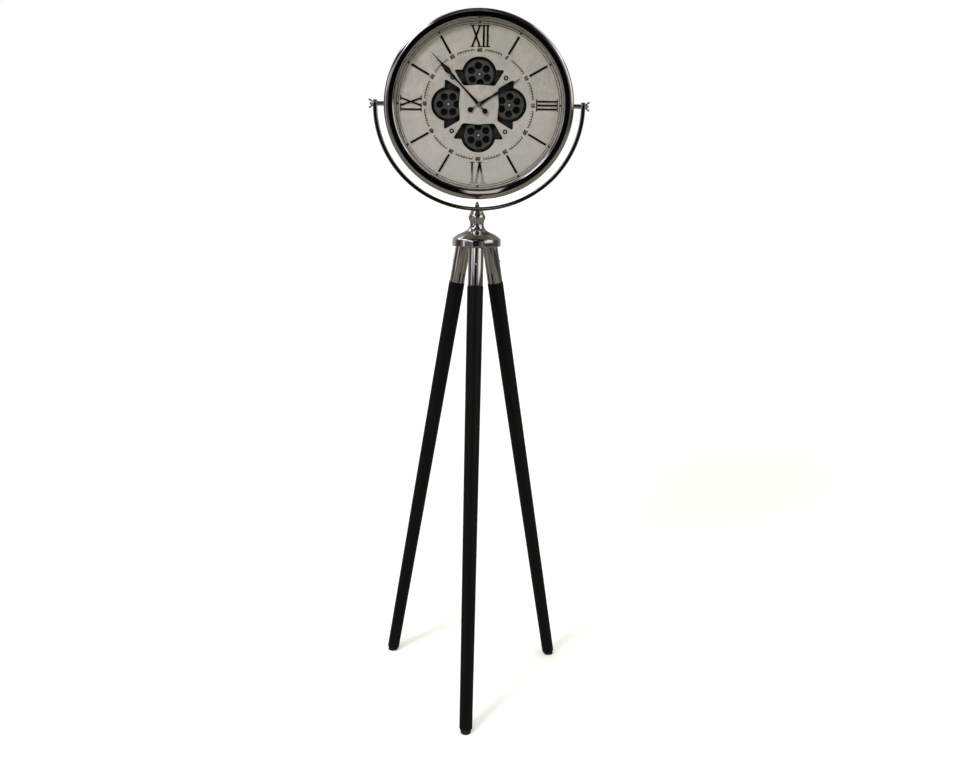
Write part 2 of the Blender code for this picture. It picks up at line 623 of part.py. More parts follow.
def build_yoke(head_centre):
    """The half-ring strip with rounded ends, holed for the two studs and the bolt."""
    work = bmesh.new()
    rows = []
    for angle, rise, width in yoke_stations():
        x = YOKE_RADIUS * math.sin(angle)
        z = -YOKE_RADIUS * math.cos(angle) + rise
        rows.append([work.verts.new((x, y, z)) for y in (-width, width)])
    for here, there in zip(rows, rows[1:]):
        work.faces.new((here[0], here[1], there[1], there[0]))
    mesh = bpy.data.meshes.new("yoke")
    work.to_mesh(mesh)
    work.free()
    yoke = add("yoke", mesh, CHROME, head_centre)
    strip = yoke.modifiers.new("strip", "SOLIDIFY")
    strip.thickness = YOKE_THICKNESS
    strip.offset = 0
    strip.use_even_offset = True
    yoke = settled(yoke)
    reach = YOKE_RADIUS + YOKE_THICKNESS
    pivots = rods("yoke_pivot_cutter", CENTRE, STUD_BORE_RADIUS, -reach, reach, None, head_centre,
                  rotation=(0, RIGHT_ANGLE, 0))
    bolt = rods("yoke_bolt_cutter", CENTRE, BOLT_BORE_RADIUS, -reach, -YOKE_RADIUS + YOKE_THICKNESS, None,
                head_centre)
    combine(yoke, pivots, "DIFFERENCE")
    combine(yoke, bolt, "DIFFERENCE")


def build_pivot(side, name, head):
    """A shouldered stud from inside the drum through the yoke's arm, and its wing nut."""
    turn = (0, RIGHT_ANGLE * side, 0)
    wall_inside = (DRUM_REAR_RADIUS - DRUM_WALL) * math.cos(math.pi / LARGE_STEPS) - SEAT_GAP
    sleeve_start = DRUM_REAR_RADIUS + SEAT_GAP
    sleeve_end = YOKE_INNER_RADIUS - STUD_END_PLAY
    arm_outside = YOKE_INNER_RADIUS + YOKE_THICKNESS
    tail = arm_outside + STUD_TAIL_LENGTH
    profile = [
        (0, tail), (STUD_RADIUS, tail), (STUD_RADIUS, sleeve_end), (STUD_SLEEVE_RADIUS, sleeve_end),
        (STUD_SLEEVE_RADIUS, sleeve_start), (STUD_RADIUS, sleeve_start), (STUD_RADIUS, wall_inside),
        (STUD_FLANGE_RADIUS, wall_inside), (STUD_FLANGE_RADIUS, wall_inside - STUD_FLANGE_THICKNESS),
        (0, wall_inside - STUD_FLANGE_THICKNESS),
    ]
    turned(f"pivot_stud_{name}", profile, SMALL_STEPS, CHROME, head, rotation=turn)
    build_wing_nut(side, name, head, arm_outside + SEAT_GAP)


def build_wing_nut(side, name, head, seat):
    """A hub with two wings, one up and one down, that lean a little and spread away from the clock."""
    hub_profile = [
        (STUD_BORE_RADIUS, WING_HUB_HEIGHT), (WING_HUB_RADIUS * WING_HUB_TAPER_SHARE, WING_HUB_HEIGHT),
        (WING_HUB_RADIUS, 0), (STUD_BORE_RADIUS, 0),
    ]
    nut = turned(f"wing_nut_{name}", hub_profile, SMALL_STEPS, CHROME, head, location=(side * seat, 0, 0),
                 rotation=(0, RIGHT_ANGLE * side, 0))
    tip = (WING_SPAN / 2 - WING_TIP_RADIUS, WING_HEIGHT - WING_TIP_RADIUS)
    inner = STUD_BORE_RADIUS + SEAT_GAP
    root = WING_HUB_HEIGHT * WING_ROOT_SHARE
    rounded = arc(WING_TIP_RADIUS, WING_TIP_START, WING_TIP_END, TIP_STEPS, tip)
    outline = [(inner, root), (WING_HUB_RADIUS, root), *rounded, (inner, WING_HUB_HEIGHT * WING_TOP_SHARE)]
    for label, hand in (("a", 1), ("b", -1)):
        points = [(x * hand, y) for x, y in outline]
        wing = plate(f"wing_{name}_{label}", [points], WING_THICKNESS, None, nut,
                     rotation=(RIGHT_ANGLE, 0, RIGHT_ANGLE + side * WING_LEAN))
        combine(nut, wing, "UNION")


def build_drum(head):
    """The stepped case shell with a rear flange, holed for the studs."""
    step = DIAL_BACK - SEAT_GAP - DRUM_WALL
    back = DRUM_BACK_DEPTH
    profile = [
        (DRUM_RADIUS, BEZEL_BASE_DEPTH - DRUM_FRONT_SETBACK), (DRUM_RADIUS, step), (DRUM_REAR_RADIUS, step),
        (DRUM_REAR_RADIUS, back + DRUM_BACK_CHAMFER), (DRUM_REAR_RADIUS - DRUM_BACK_CHAMFER, back),
        (DRUM_REAR_RADIUS - DRUM_BACK_FLANGE, back),
    ]
    drum = turned("case_drum", profile, LARGE_STEPS, CHROME, head, wall=DRUM_WALL)
    reach = DRUM_RADIUS + CUT_OVERRUN
    holes = rods("drum_stud_cutter", CENTRE, STUD_BORE_RADIUS, -reach, reach, None, head,
                 rotation=(0, RIGHT_ANGLE, 0))
    combine(drum, holes, "DIFFERENCE")


def build_bezel(head):
    """The chrome ring in front of the drum, hollow at the back: an inner roll, a flat face and a shoulder."""
    spring = BEZEL_BASE_DEPTH + BEZEL_LIP
    root = spring + BEZEL_RISE - BEZEL_ROLL_DEPTH
    inside, outside = SIGHT_RADIUS + BEZEL_ROLL_WIDTH, BEZEL_RADIUS - BEZEL_SHOULDER
    turns = [RIGHT_ANGLE * i / BEZEL_STEPS for i in range(BEZEL_STEPS + 1)]
    roll = [(inside - BEZEL_ROLL_WIDTH * math.cos(t), root + BEZEL_ROLL_DEPTH * math.sin(t)) for t in turns]
    shoulder = [(outside + BEZEL_SHOULDER * math.sin(t), spring + BEZEL_RISE * math.cos(t)) for t in turns]
    profile = [
        (SIGHT_RADIUS, BEZEL_BASE_DEPTH), *roll, *shoulder, (BEZEL_RADIUS, BEZEL_SKIRT_DEPTH),
        (DRUM_RADIUS + SEAT_GAP, BEZEL_SKIRT_DEPTH),
    ]
    turned("bezel_ring", profile, LARGE_STEPS, CHROME, head, wall=BEZEL_WALL)


def build_front(head):
    """The glass behind the bezel's lip and the slanted ring between glass and dial."""
    glass = [(0, GLASS_FRONT), (GLASS_RADIUS, GLASS_FRONT), (GLASS_RADIUS, GLASS_BACK), (0, GLASS_BACK)]
    turned("front_glass", glass, LARGE_STEPS, GLASS, head)
    rehaut = [
        (SIGHT_RADIUS, REHAUT_FRONT), (DIAL_RADIUS, REHAUT_FRONT), (DIAL_RADIUS, REHAUT_BACK),
        (SIGHT_RADIUS - REHAUT_SLANT, REHAUT_BACK),
    ]
    turned("rehaut_ring", rehaut, LARGE_STEPS, REHAUT_PAINT, head)


def build_back_cover(head):
    """The ring-shaped cover inside the drum's rear flange, open in the middle to reach the movement."""
    back = DRUM_BACK_DEPTH + DRUM_WALL + SEAT_GAP
    front = back + BACK_COVER_THICKNESS
    outer = DRUM_REAR_RADIUS - DRUM_WALL - DRUM_BACK_CHAMFER
    profile = [(BACK_OPENING_RADIUS, front), (outer, front), (outer, back), (BACK_OPENING_RADIUS, back)]
    turned("back_cover", profile, LARGE_STEPS, MOULDED_BLACK, head)


def window_outline(quarter):
    """Return the outline of one gear window, turned clockwise by quarters from 12."""
    ear_top = tuple(WINDOW_ARC_RADIUS * share for share in WINDOW_EAR_SHARE)
    corner = tuple(WINDOW_ARC_RADIUS * share for share in WINDOW_CORNER_SHARE)
    shoulder_angle = math.asin(WINDOW_EAR_SHARE[1])
    shoulder = (WINDOW_ARC_RADIUS * math.cos(shoulder_angle), ear_top[1])
    inner_middle = (0, WINDOW_ARC_RADIUS * WINDOW_INNER_SHARE)
    ear = fillet(shoulder, ear_top, corner, WINDOW_EAR_FILLET)
    foot = fillet(ear_top, corner, (0, corner[1]), WINDOW_CORNER_FILLET)
    crown = arc(WINDOW_ARC_RADIUS, RIGHT_ANGLE, shoulder_angle, WINDOW_STEPS)
    right = crown + ear + foot
    left = [(-x, y) for x, y in reversed(right)]
    outline = right + [inner_middle] + left[:-1]
    cos, sin = math.cos(quarter * RIGHT_ANGLE), math.sin(quarter * RIGHT_ANGLE)
    points = [(x, y + WHEEL_RING_RADIUS) for x, y in outline]
    return [(x * cos + y * sin, y * cos - x * sin) for x, y in points]


def diagonal_places():
    """Return the places of the idlers, their pillars and the dial's screws, between the windows."""
    return [polar(IDLER_RING_RADIUS, EIGHTH_TURN * (2 * index + 1)) for index in range(4)]


def build_dial(head):
    """The dial board with four windows, the bush's hole and four screw holes, and its screws."""
    holes = [circle(BUSH_RADIUS + SEAT_GAP, HOLE_STEPS)]
    for place in diagonal_places():
        holes.append(circle(DIAL_SCREW_RADIUS + SEAT_GAP, HOLE_STEPS, place))
    outlines = [circle(DIAL_RADIUS, LARGE_STEPS), *(window_outline(quarter) for quarter in range(4)), *holes]
    plate("dial", outlines, DIAL_THICKNESS, DIAL_PAPER, head, (0, 0, (DIAL_FRONT + DIAL_BACK) / 2))
    profile = dome(SCREW_DOME_SHARES, DIAL_SCREW_HEAD_RADIUS, SEAT_GAP, DIAL_SCREW_HEAD_HEIGHT)
    end = -DIAL_SCREW_LENGTH
    profile += [(DIAL_SCREW_RADIUS, SEAT_GAP), (DIAL_SCREW_RADIUS, end), (0, end)]
    for number, (x, y) in enumerate(diagonal_places(), 1):
        turned(f"dial_screw_{number}", profile, SMALL_STEPS, STEEL, head, location=(x, y, DIAL_FRONT))


def build_batons(head):
    """Eight bevelled bars at the hours between the numerals."""
    for hour in (1, 2, 4, 5, 7, 8, 10, 11):
        angle = hour * HOUR_ANGLE
        x, y = polar(MARKER_MIDDLE_RADIUS, angle)
        bar = box(f"hour_baton_{hour}", (BATON_WIDTH, BATON_LENGTH, MARKER_HEIGHT), DARK_METAL, head,
                  (x, y, MARKER_MIDDLE_DEPTH), (0, 0, -angle))
        bevelled(bar, BATON_BEVEL)


def numeral_strokes(letters):
    """Return each stroke's sideways places at its outer and its inner end, the letters side by side."""
    widths = [NUMERAL_STROKE if letter == "I" else NUMERAL_LETTER_WIDTH for letter in letters]
    start = -(sum(widths) + NUMERAL_LETTER_GAP * (len(letters) - 1)) / 2
    strokes = []
    for letter, width in zip(letters, widths):
        centre = start + width / 2
        half = (width - NUMERAL_STROKE) / 2
        for outer, inner in LETTER_STROKE_SHARES[letter]:
            strokes.append((centre + half * outer, centre + half * inner))
        start += width + NUMERAL_LETTER_GAP
    return strokes


def serif_spans(places):
    """Return where the serifs at the strokes' ends start and stop, with those that meet joined into one."""
    spans = []
    for place in sorted(places):
        low = place - NUMERAL_SERIF_WIDTH / 2
        high = place + NUMERAL_SERIF_WIDTH / 2
        if spans and low < spans[-1][1]:
            spans[-1] = (spans[-1][0], high)
        else:
            spans.append((low, high))
    return spans


def build_numeral(hour, letters, head):
    """A radial Roman numeral: strokes joined by thinner serifs at both ends."""
    angle = hour * HOUR_ANGLE
    x, y = polar(MARKER_MIDDLE_RADIUS, angle)
    strokes = numeral_strokes(letters)
    rise = NUMERAL_LENGTH - NUMERAL_SERIF_HEIGHT
    bars = []
    for outer, inner in strokes:
        lean = math.atan2(inner - outer, rise)
        size = (NUMERAL_STROKE, rise / math.cos(lean), MARKER_HEIGHT)
        bars.append((size, ((outer + inner) / 2, 0, 0), lean))
    serif_depth = MARKER_HEIGHT - NUMERAL_SERIF_RELIEF
    for end in (0, 1):
        serif_y = rise / 2 - rise * end
        for low, high in serif_spans([stroke[end] for stroke in strokes]):
            size = (high - low, NUMERAL_SERIF_HEIGHT, serif_depth)
            bars.append((size, ((low + high) / 2, serif_y, -NUMERAL_SERIF_RELIEF / 4), 0))
    numeral = None
    for index, (size, place, lean) in enumerate(bars):
        if numeral is None:
            numeral = box(f"numeral_{hour}", size, DARK_METAL, head, (x, y, MARKER_MIDDLE_DEPTH),
                          (0, 0, -angle))
            numeral.data.transform(Matrix.Translation(place) @ Matrix.Rotation(lean, 4, "Z"))
        else:
            bar = box(f"numeral_{hour}_bar_{index}", size, None, numeral, place, (0, 0, lean))
            combine(numeral, bar, "UNION")


def build_numerals(head):
    """The four numerals at the quarters."""
    for hour, letters in ((12, "XII"), (3, "III"), (6, "VI"), (9, "IX")):
        build_numeral(hour, letters, head)


def gear_outline(teeth, phase):
    """Return a toothed wheel's outline with a tooth at the phase angle."""
    pitch_radius = GEAR_MODULE * teeth / 2
    tip = pitch_radius + GEAR_MODULE * TOOTH_ADDENDUM_SHARE
    root = pitch_radius - GEAR_MODULE * TOOTH_DEDENDUM_SHARE
    half = math.pi * GEAR_MODULE * TOOTH_THICKNESS_SHARE / 2
    lean = math.tan(TOOTH_FLANK_ANGLE)
    tip_turn = (half - (tip - pitch_radius) * lean) / tip
    root_turn = (half + (pitch_radius - root) * lean) / root
    points = []
    for tooth in range(teeth):
        centre = phase + 2 * math.pi * tooth / teeth
        for radius, turn in ((root, -root_turn), (tip, -tip_turn), (tip, tip_turn), (root, root_turn)):
            points.append((radius * math.cos(centre + turn), radius * math.sin(centre + turn)))
    return points


def tooth_layer(name, teeth, phase, look, parent, place, recess=0.0):
    """Return the toothed disc of a wheel, in the gears' plane, its front set back by the recess."""
    middle = (TOOTH_FRONT - recess + TOOTH_BACK) / 2
    thickness = TOOTH_LAYER_THICKNESS - recess
    return plate(name, [gear_outline(teeth, phase)], thickness, look, parent, (*place, middle))


def build_display_wheel(label, quarter, head):
    """A six-holed wheel whose front flange covers its teeth."""
    angle = quarter * RIGHT_ANGLE
    x, y = polar(WHEEL_RING_RADIUS, angle)
    outwards = RIGHT_ANGLE - angle
    phase = outwards + math.pi / DISPLAY_TEETH * ((RING_HALF_TURNS + 1) % 2)
    wheel = tooth_layer(f"display_wheel_{label}", DISPLAY_TEETH, phase, WHEEL_GREY, head, (x, y))
    layer_front = TOOTH_LAYER_THICKNESS / 2
    flange = rods(f"flange_{label}", CENTRE, WHEEL_FLANGE_RADIUS, layer_front - SEAT_GAP,
                  layer_front + WHEEL_FLANGE_THICKNESS, None, wheel, COLUMN_STEPS)
    combine(wheel, flange, "UNION")
    turn = math.radians(WHEEL_HOLE_TURNS_DEG[label])
    ring = WHEEL_PITCH_RADIUS * WHEEL_HOLE_RING_SHARE
    places = [polar(ring, turn + 2 * math.pi * i / WHEEL_HOLE_COUNT) for i in range(WHEEL_HOLE_COUNT)]
    reach = TOOTH_LAYER_THICKNESS + WHEEL_FLANGE_THICKNESS + CUT_OVERRUN
    hole_radius = WHEEL_PITCH_RADIUS * WHEEL_HOLE_SHARE
    holes = rods(f"wheel_holes_{label}", places, hole_radius, -reach, reach, None, wheel, HOLE_STEPS)
    bore = rods(f"wheel_bore_{label}", CENTRE, POST_RADIUS + SEAT_GAP, -reach, reach, None, wheel)
    combine(wheel, holes, "DIFFERENCE")
    combine(wheel, bore, "DIFFERENCE")


def build_idler_wheel(label, angle, head):
    """A small wheel between two display wheels, turning on a pillar."""
    x, y = polar(IDLER_RING_RADIUS, angle)
    outwards = RIGHT_ANGLE - angle
    wheel = tooth_layer(f"idler_wheel_{label}", IDLER_TEETH, outwards, WHEEL_GREY, head, (x, y), IDLER_RECESS)
    ring = IDLER_PITCH_RADIUS * IDLER_HOLE_RING_SHARE
    places = [polar(ring, 2 * math.pi * i / IDLER_HOLE_COUNT) for i in range(IDLER_HOLE_COUNT)]
    reach = TOOTH_LAYER_THICKNESS + CUT_OVERRUN
    hole_radius = IDLER_PITCH_RADIUS * IDLER_HOLE_SHARE
    holes = rods(f"idler_holes_{label}", places, hole_radius, -reach, reach, None, wheel, IDLER_HOLE_STEPS)
    bore = rods(f"idler_bore_{label}", CENTRE, PILLAR_RADIUS + SEAT_GAP, -reach, reach, None, wheel)
    combine(wheel, holes, "DIFFERENCE")
    combine(wheel, bore, "DIFFERENCE")


def build_drive(head):
    """The motor behind the plate and the pinion on its shaft, below the wheel at 6."""
    opposite = 0 if (RING_HALF_TURNS + 1) % 2 else math.pi / PINION_TEETH
    pinion = tooth_layer("drive_pinion", PINION_TEETH, RIGHT_ANGLE + opposite, STEEL, head,
                         (0, -PINION_RING_RADIUS), IDLER_RECESS)
    motor_front = PLATE_BACK - SEAT_GAP
    shaft_end = motor_front - MOTOR_SHAFT_LENGTH
    shaft = rods("pinion_shaft", CENTRE, MOTOR_SHAFT_RADIUS, shaft_end - pinion.location.z, 0, None, pinion)
    combine(pinion, shaft, "UNION")
    motor = box("gear_motor", (MOTOR_WIDTH, MOTOR_LENGTH, MOTOR_DEPTH), MOULDED_BLACK, head,
                (0, -PINION_RING_RADIUS, motor_front - MOTOR_DEPTH / 2))
    bevelled(motor, MOVEMENT_BEVEL)
    bore_end = MOTOR_DEPTH / 2 - MOTOR_SHAFT_LENGTH - SEAT_GAP
    bore = rods("motor_bore", CENTRE, MOTOR_SHAFT_RADIUS + SEAT_GAP, bore_end, MOTOR_DEPTH / 2 + CUT_OVERRUN,
                None, motor)
    combine(motor, bore, "DIFFERENCE")


def build_gear_plate(head):
    """The plate behind the wheels with its posts, and the pillars that carry the idlers and the dial."""
    middle = (PLATE_FRONT + PLATE_BACK) / 2
    base = rods("gear_plate", CENTRE, PLATE_RADIUS, -PLATE_THICKNESS / 2, PLATE_THICKNESS / 2, PLATE_BLACK,
                head, LARGE_STEPS, location=(0, 0, middle))
    post_places = [polar(WHEEL_RING_RADIUS, RIGHT_ANGLE * quarter) for quarter in range(4)]
    pillar_places = diagonal_places()
    shoulder_top = TOOTH_BACK - SEAT_GAP - middle
    post_top = FLANGE_FRONT + SEAT_GAP - middle
    pillar_top = DIAL_BACK - SEAT_GAP - middle
    shoulders = rods("post_shoulders", post_places + pillar_places, POST_SHOULDER_RADIUS, 0, shoulder_top, None,
                     base)
    posts = rods("posts", post_places, POST_RADIUS, 0, post_top, None, base)
    pillars = rods("pillars", pillar_places, PILLAR_RADIUS, 0, pillar_top, None, base)
    for shape in (shoulders, posts, pillars):
        combine(base, shape, "UNION")
    bush_hole = rods("bush_hole", CENTRE, BUSH_RADIUS + SEAT_GAP, -PLATE_THICKNESS, PLATE_THICKNESS, None, base)
    shaft_hole = rods("shaft_hole", [(0, -PINION_RING_RADIUS)], MOTOR_SHAFT_RADIUS + SEAT_GAP, -PLATE_THICKNESS,
                      PLATE_THICKNESS, None, base)
    combine(base, bush_hole, "DIFFERENCE")
    combine(base, shaft_hole, "DIFFERENCE")
    bore_end = pillar_top - (DIAL_SCREW_LENGTH - DIAL_THICKNESS) - SEAT_GAP
    bores = rods("pillar_bores", pillar_places, DIAL_SCREW_RADIUS + SEAT_GAP, bore_end,
                 pillar_top + CUT_OVERRUN, None, base)
    combine(base, bores, "DIFFERENCE")


def build_movement(head):
    """The movement with its bush and bore, the setting knob behind it and the minute arbor."""
    front = PLATE_BACK - SEAT_GAP
    middle = front - MOVEMENT_DEPTH / 2
    movement = box("movement", (MOVEMENT_SIDE, MOVEMENT_SIDE, MOVEMENT_DEPTH), MOULDED_BLACK, head,
                   (0, 0, middle))
    bevelled(movement, MOVEMENT_BEVEL)
    bush = rods("movement_bush", CENTRE, BUSH_RADIUS, 0, BUSH_FRONT - middle, None, movement)
    root = front - ARBOR_ROOT_DEPTH
    bore = rods("movement_bore", CENTRE, ARBOR_BORE_RADIUS, root - SEAT_GAP - middle,
                BUSH_FRONT + CUT_OVERRUN - middle, None, movement)
    stem_place = (KNOB_OFFSET, -KNOB_OFFSET)
    back = -MOVEMENT_DEPTH / 2
    stem_bore = rods("knob_bore", [stem_place], KNOB_STEM_RADIUS + SEAT_GAP, back - CUT_OVERRUN,
                     back + KNOB_STEM_LENGTH + SEAT_GAP, None, movement)
    combine(movement, bush, "UNION")
    combine(movement, bore, "DIFFERENCE")
    combine(movement, stem_bore, "DIFFERENCE")
    rods("minute_arbor", CENTRE, ARBOR_RADIUS, root, NUT_FRONT - HAND_NUT_ROOF - SEAT_GAP, STEEL, head)
    ridge_points = []
    for index in range(KNOB_RIDGES * 2):
        radius = KNOB_RADIUS - (KNOB_RIDGE_HEIGHT if index % 2 else 0)
        ridge_points.append(polar(radius, math.pi * index / KNOB_RIDGES))
    knob_middle = middle + back - SEAT_GAP - KNOB_LENGTH / 2
    knob = plate("time_set_knob", [ridge_points], KNOB_LENGTH, MOULDED_BLACK, head, (*stem_place, knob_middle))
    stem_top = KNOB_LENGTH / 2 + SEAT_GAP + KNOB_STEM_LENGTH
    stem = rods("knob_stem", CENTRE, KNOB_STEM_RADIUS, 0, stem_top, None, knob)
    combine(knob, stem, "UNION")


def hand_outline(length, width, tail, shares):
    """Return a hand's outline, pointing along +Y, with a neck and a round tail."""
    neck = HAND_TAIL_NECK / 2
    disc = HAND_TAIL_DISC_RADIUS
    meet = math.asin(neck / disc)
    tail_points = arc(disc, RIGHT_ANGLE - meet, -RIGHT_ANGLE, TAIL_STEPS, (0, -tail))
    right = [(half * width / 2, share * length) for share, half in reversed(shares)]
    right += [(HAND_COLLET_RADIUS, 0), (neck, -HAND_COLLET_RADIUS)] + tail_points
    left = [(-x, y) for x, y in reversed(right[:-1])]
    return right + left


def build_hand(name, shares, length, width, tail, turn_deg, plate_middle, collet, head):
    """A flat hand on a collet, on the hands' axis."""
    outline = hand_outline(length, width, tail, shares)
    hand = plate(name, [outline], HAND_THICKNESS, HAND_BLACK, head, (0, 0, plate_middle),
                 (0, 0, -math.radians(turn_deg)))
    low, high = collet
    boss = rods(f"{name}_boss", CENTRE, HAND_COLLET_RADIUS, low - plate_middle, high - plate_middle, None, hand)
    bore = rods(f"{name}_bore", CENTRE, ARBOR_BORE_RADIUS, low - plate_middle - CUT_OVERRUN,
                high - plate_middle + CUT_OVERRUN, None, hand)
    combine(hand, boss, "UNION")
    combine(hand, bore, "DIFFERENCE")


def build_hands(head):
    """The hour and minute hands and the nut that holds them."""
    collet_top = HOUR_COLLET_BACK + HAND_COLLET_HEIGHT
    hour_middle = HOUR_COLLET_BACK + HAND_COLLET_HEIGHT * HAND_SEAT_SHARE
    build_hand("hour_hand", HOUR_OUTLINE_SHARES, HOUR_HAND_LENGTH, HOUR_HAND_WIDTH, HOUR_HAND_TAIL,
               HOUR_HAND_TURN_DEG, hour_middle, (HOUR_COLLET_BACK, collet_top), head)
    minute_middle = MINUTE_BOSS_BACK + SEAT_GAP / 2 + HAND_THICKNESS / 2
    build_hand("minute_hand", MINUTE_OUTLINE_SHARES, MINUTE_HAND_LENGTH, MINUTE_HAND_WIDTH, MINUTE_HAND_TAIL,
               MINUTE_HAND_TURN_DEG, minute_middle, (MINUTE_BOSS_BACK, MINUTE_HAND_FRONT), head)
    nut_roof = NUT_FRONT - HAND_NUT_ROOF
    profile = dome(HAND_NUT_DOME_SHARES, HAND_NUT_RADIUS, NUT_BACK, HAND_NUT_HEIGHT)
    profile += [(ARBOR_BORE_RADIUS, NUT_BACK), (ARBOR_BORE_RADIUS, nut_roof), (0, nut_roof)]
    turned("hand_nut", profile, SMALL_STEPS, STEEL, head)


def stand_centre_offset():
    """Return how far behind the footprint's middle the column stands, as one leg is in front and two behind."""
    ring = FOOT_RING_RADIUS - (PAD_HEIGHT + LEG_END_CHAMFER) * math.sin(SPLAY)
    across = math.cos(SPLAY)
    front = ring + LEG_FOOT_RADIUS * across
    turn = math.pi / LEG_COUNT
    rear = ring * math.cos(turn) + LEG_FOOT_RADIUS * math.hypot(across * math.cos(turn), math.sin(turn))
    return (front - rear) / 2


def build():
    """Build the stand from the floor up, then the yoke, the case and what it holds."""
    clear_scene()
    stand = empty("stand_axis", location=(0, stand_centre_offset(), 0))
    legs = []
    for number in range(LEG_COUNT):
        azimuth = 2 * math.pi * number / LEG_COUNT
        place = (HUB_RING_RADIUS * math.sin(azimuth), -HUB_RING_RADIUS * math.cos(azimuth), HUB_BASE_HEIGHT)
        legs.append(empty(f"leg_axis_{number + 1}", stand, place, (-SPLAY, 0, azimuth)))
    floor = box("floor_cutter", (FLOOR_SIDE, FLOOR_SIDE, FLOOR_SIDE), None, stand, (0, 0, -FLOOR_SIDE / 2))
    build_foot_pads(legs, floor)
    build_legs(legs)
    build_tripod_head(stand)
    build_leg_hub(stand, legs)
    build_swivel_bolt(stand)

    head_centre = empty("clock_centre", stand, (0, 0, CLOCK_HEIGHT))
    build_yoke(head_centre)
    head = empty("dial_frame", head_centre, rotation=(RIGHT_ANGLE, 0, 0))
    build_pivot(1, "right", head)
    build_pivot(-1, "left", head)
    build_drum(head)
    build_bezel(head)
    build_front(head)
    build_back_cover(head)
    build_dial(head)
    build_batons(head)
    build_numerals(head)
    for quarter, label in enumerate(("12", "3", "6", "9")):
        build_display_wheel(label, quarter, head)
    for index, label in enumerate(("1_30", "4_30", "7_30", "10_30")):
        build_idler_wheel(label, EIGHTH_TURN * (2 * index + 1), head)
    build_drive(head)
    build_gear_plate(head)
    build_movement(head)
    build_hands(head)


build()
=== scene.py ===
"""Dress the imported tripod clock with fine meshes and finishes, and set the studio around it."""

import logging
import math
from dataclasses import dataclass, field
from enum import Enum
from typing import Optional, Sequence, Union

import bmesh
import bpy
import numpy as np
from mathutils import Euler, Matrix, Vector


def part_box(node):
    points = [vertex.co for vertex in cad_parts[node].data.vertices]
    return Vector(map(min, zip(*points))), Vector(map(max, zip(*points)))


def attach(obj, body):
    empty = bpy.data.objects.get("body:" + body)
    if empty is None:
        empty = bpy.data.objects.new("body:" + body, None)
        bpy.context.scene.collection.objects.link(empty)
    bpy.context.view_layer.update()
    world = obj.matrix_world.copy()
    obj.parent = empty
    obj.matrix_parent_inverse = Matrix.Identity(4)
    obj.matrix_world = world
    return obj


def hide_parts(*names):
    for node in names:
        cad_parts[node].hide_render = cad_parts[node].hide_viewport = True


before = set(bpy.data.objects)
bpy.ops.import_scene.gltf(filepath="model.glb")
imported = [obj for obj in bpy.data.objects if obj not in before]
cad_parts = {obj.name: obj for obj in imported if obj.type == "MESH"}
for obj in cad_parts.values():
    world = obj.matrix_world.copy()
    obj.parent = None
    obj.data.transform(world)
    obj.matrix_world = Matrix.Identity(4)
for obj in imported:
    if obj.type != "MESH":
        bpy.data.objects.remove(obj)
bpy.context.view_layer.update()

LOG = logging.getLogger("tripod_clock")

# The column's axis and the pivots' height in metres, and the frame in which the dial is drawn: x to the
# right, y up and z out of the dial
AXIS_Y = 0.0590105
CLOCK_HEIGHT = 1.4329
HEAD_PLACE = Matrix.Translation((0, AXIS_Y, CLOCK_HEIGHT)) @ Matrix.Rotation(math.pi / 2, 4, "X")
QUARTER = math.pi / 2
FULL_TURN = 2 * math.pi
FINE = 224
SMOOTH_ANGLE = math.radians(34)
WELD = 1e-7
CORNER_SHARE = 0.45
Numbers = Sequence[float]


class Hour(Enum):
    """The four hours that carry a numeral and a gear window, by their quarter turn from 12."""

    TWELVE = 0
    THREE = 1
    SIX = 2
    NINE = 3

    @property
    def label(self) -> str:
        """Return the hour as the nodes' names write it."""
        return str(self.value * 3 or 12)


class Side(Enum):
    """The two ends of the tilt axis, by the sign of their X."""

    LEFT = -1
    RIGHT = 1

    @property
    def label(self) -> str:
        """Return the side as the nodes' names write it."""
        return self.name.lower()


@dataclass
class Shape:
    """Points and faces worked out as arrays, before they become a mesh."""

    points: np.ndarray
    faces: list

    def placed(self, place: Matrix) -> "Shape":
        """Return the shape with its points carried by a matrix."""
        matrix = np.array(place)
        return Shape(self.points @ matrix[:3, :3].T + matrix[:3, 3], self.faces)

    def joined(self, *others: "Shape") -> "Shape":
        """Return this shape and others as one, each one's indices moved on by the points before it.

        Args:
            others: the shapes that follow this one.

        Returns:
            One shape with all the points and faces.
        """
        points, faces, start = [self.points], list(self.faces), len(self.points)
        for other in others:
            points.append(other.points)
            faces += [tuple(index + start for index in face) for face in other.faces]
            start += len(other.points)
        return Shape(np.concatenate(points), faces)


def clock_polar(radius: Union[float, np.ndarray], turn: Union[float, np.ndarray]) -> tuple:
    """Return (x, y) on the dial at a turn clockwise from 12: radius times (sine, cosine) of the turn."""
    return radius * np.sin(turn), radius * np.cos(turn)


def grid_faces(rows: int, columns: int, wrap_rows: bool, wrap_columns: bool) -> list:
    """Return the four-sided faces of a grid of points.

    Args:
        rows: how many rows of points there are.
        columns: how many points each row has.
        wrap_rows: whether the last row joins the first.
        wrap_columns: whether each row closes on itself.

    Returns:
        A list of faces, each the indices of its four corners.
    """
    row = np.arange(rows if wrap_rows else rows - 1)[:, None]
    column = np.arange(columns if wrap_columns else columns - 1)[None, :]
    next_row, next_column = (row + 1) % rows, (column + 1) % columns
    corners = (row * columns + column, row * columns + next_column,
               next_row * columns + next_column, next_row * columns + column)
    return np.stack(np.broadcast_arrays(*corners), axis=-1).reshape(-1, 4).tolist()


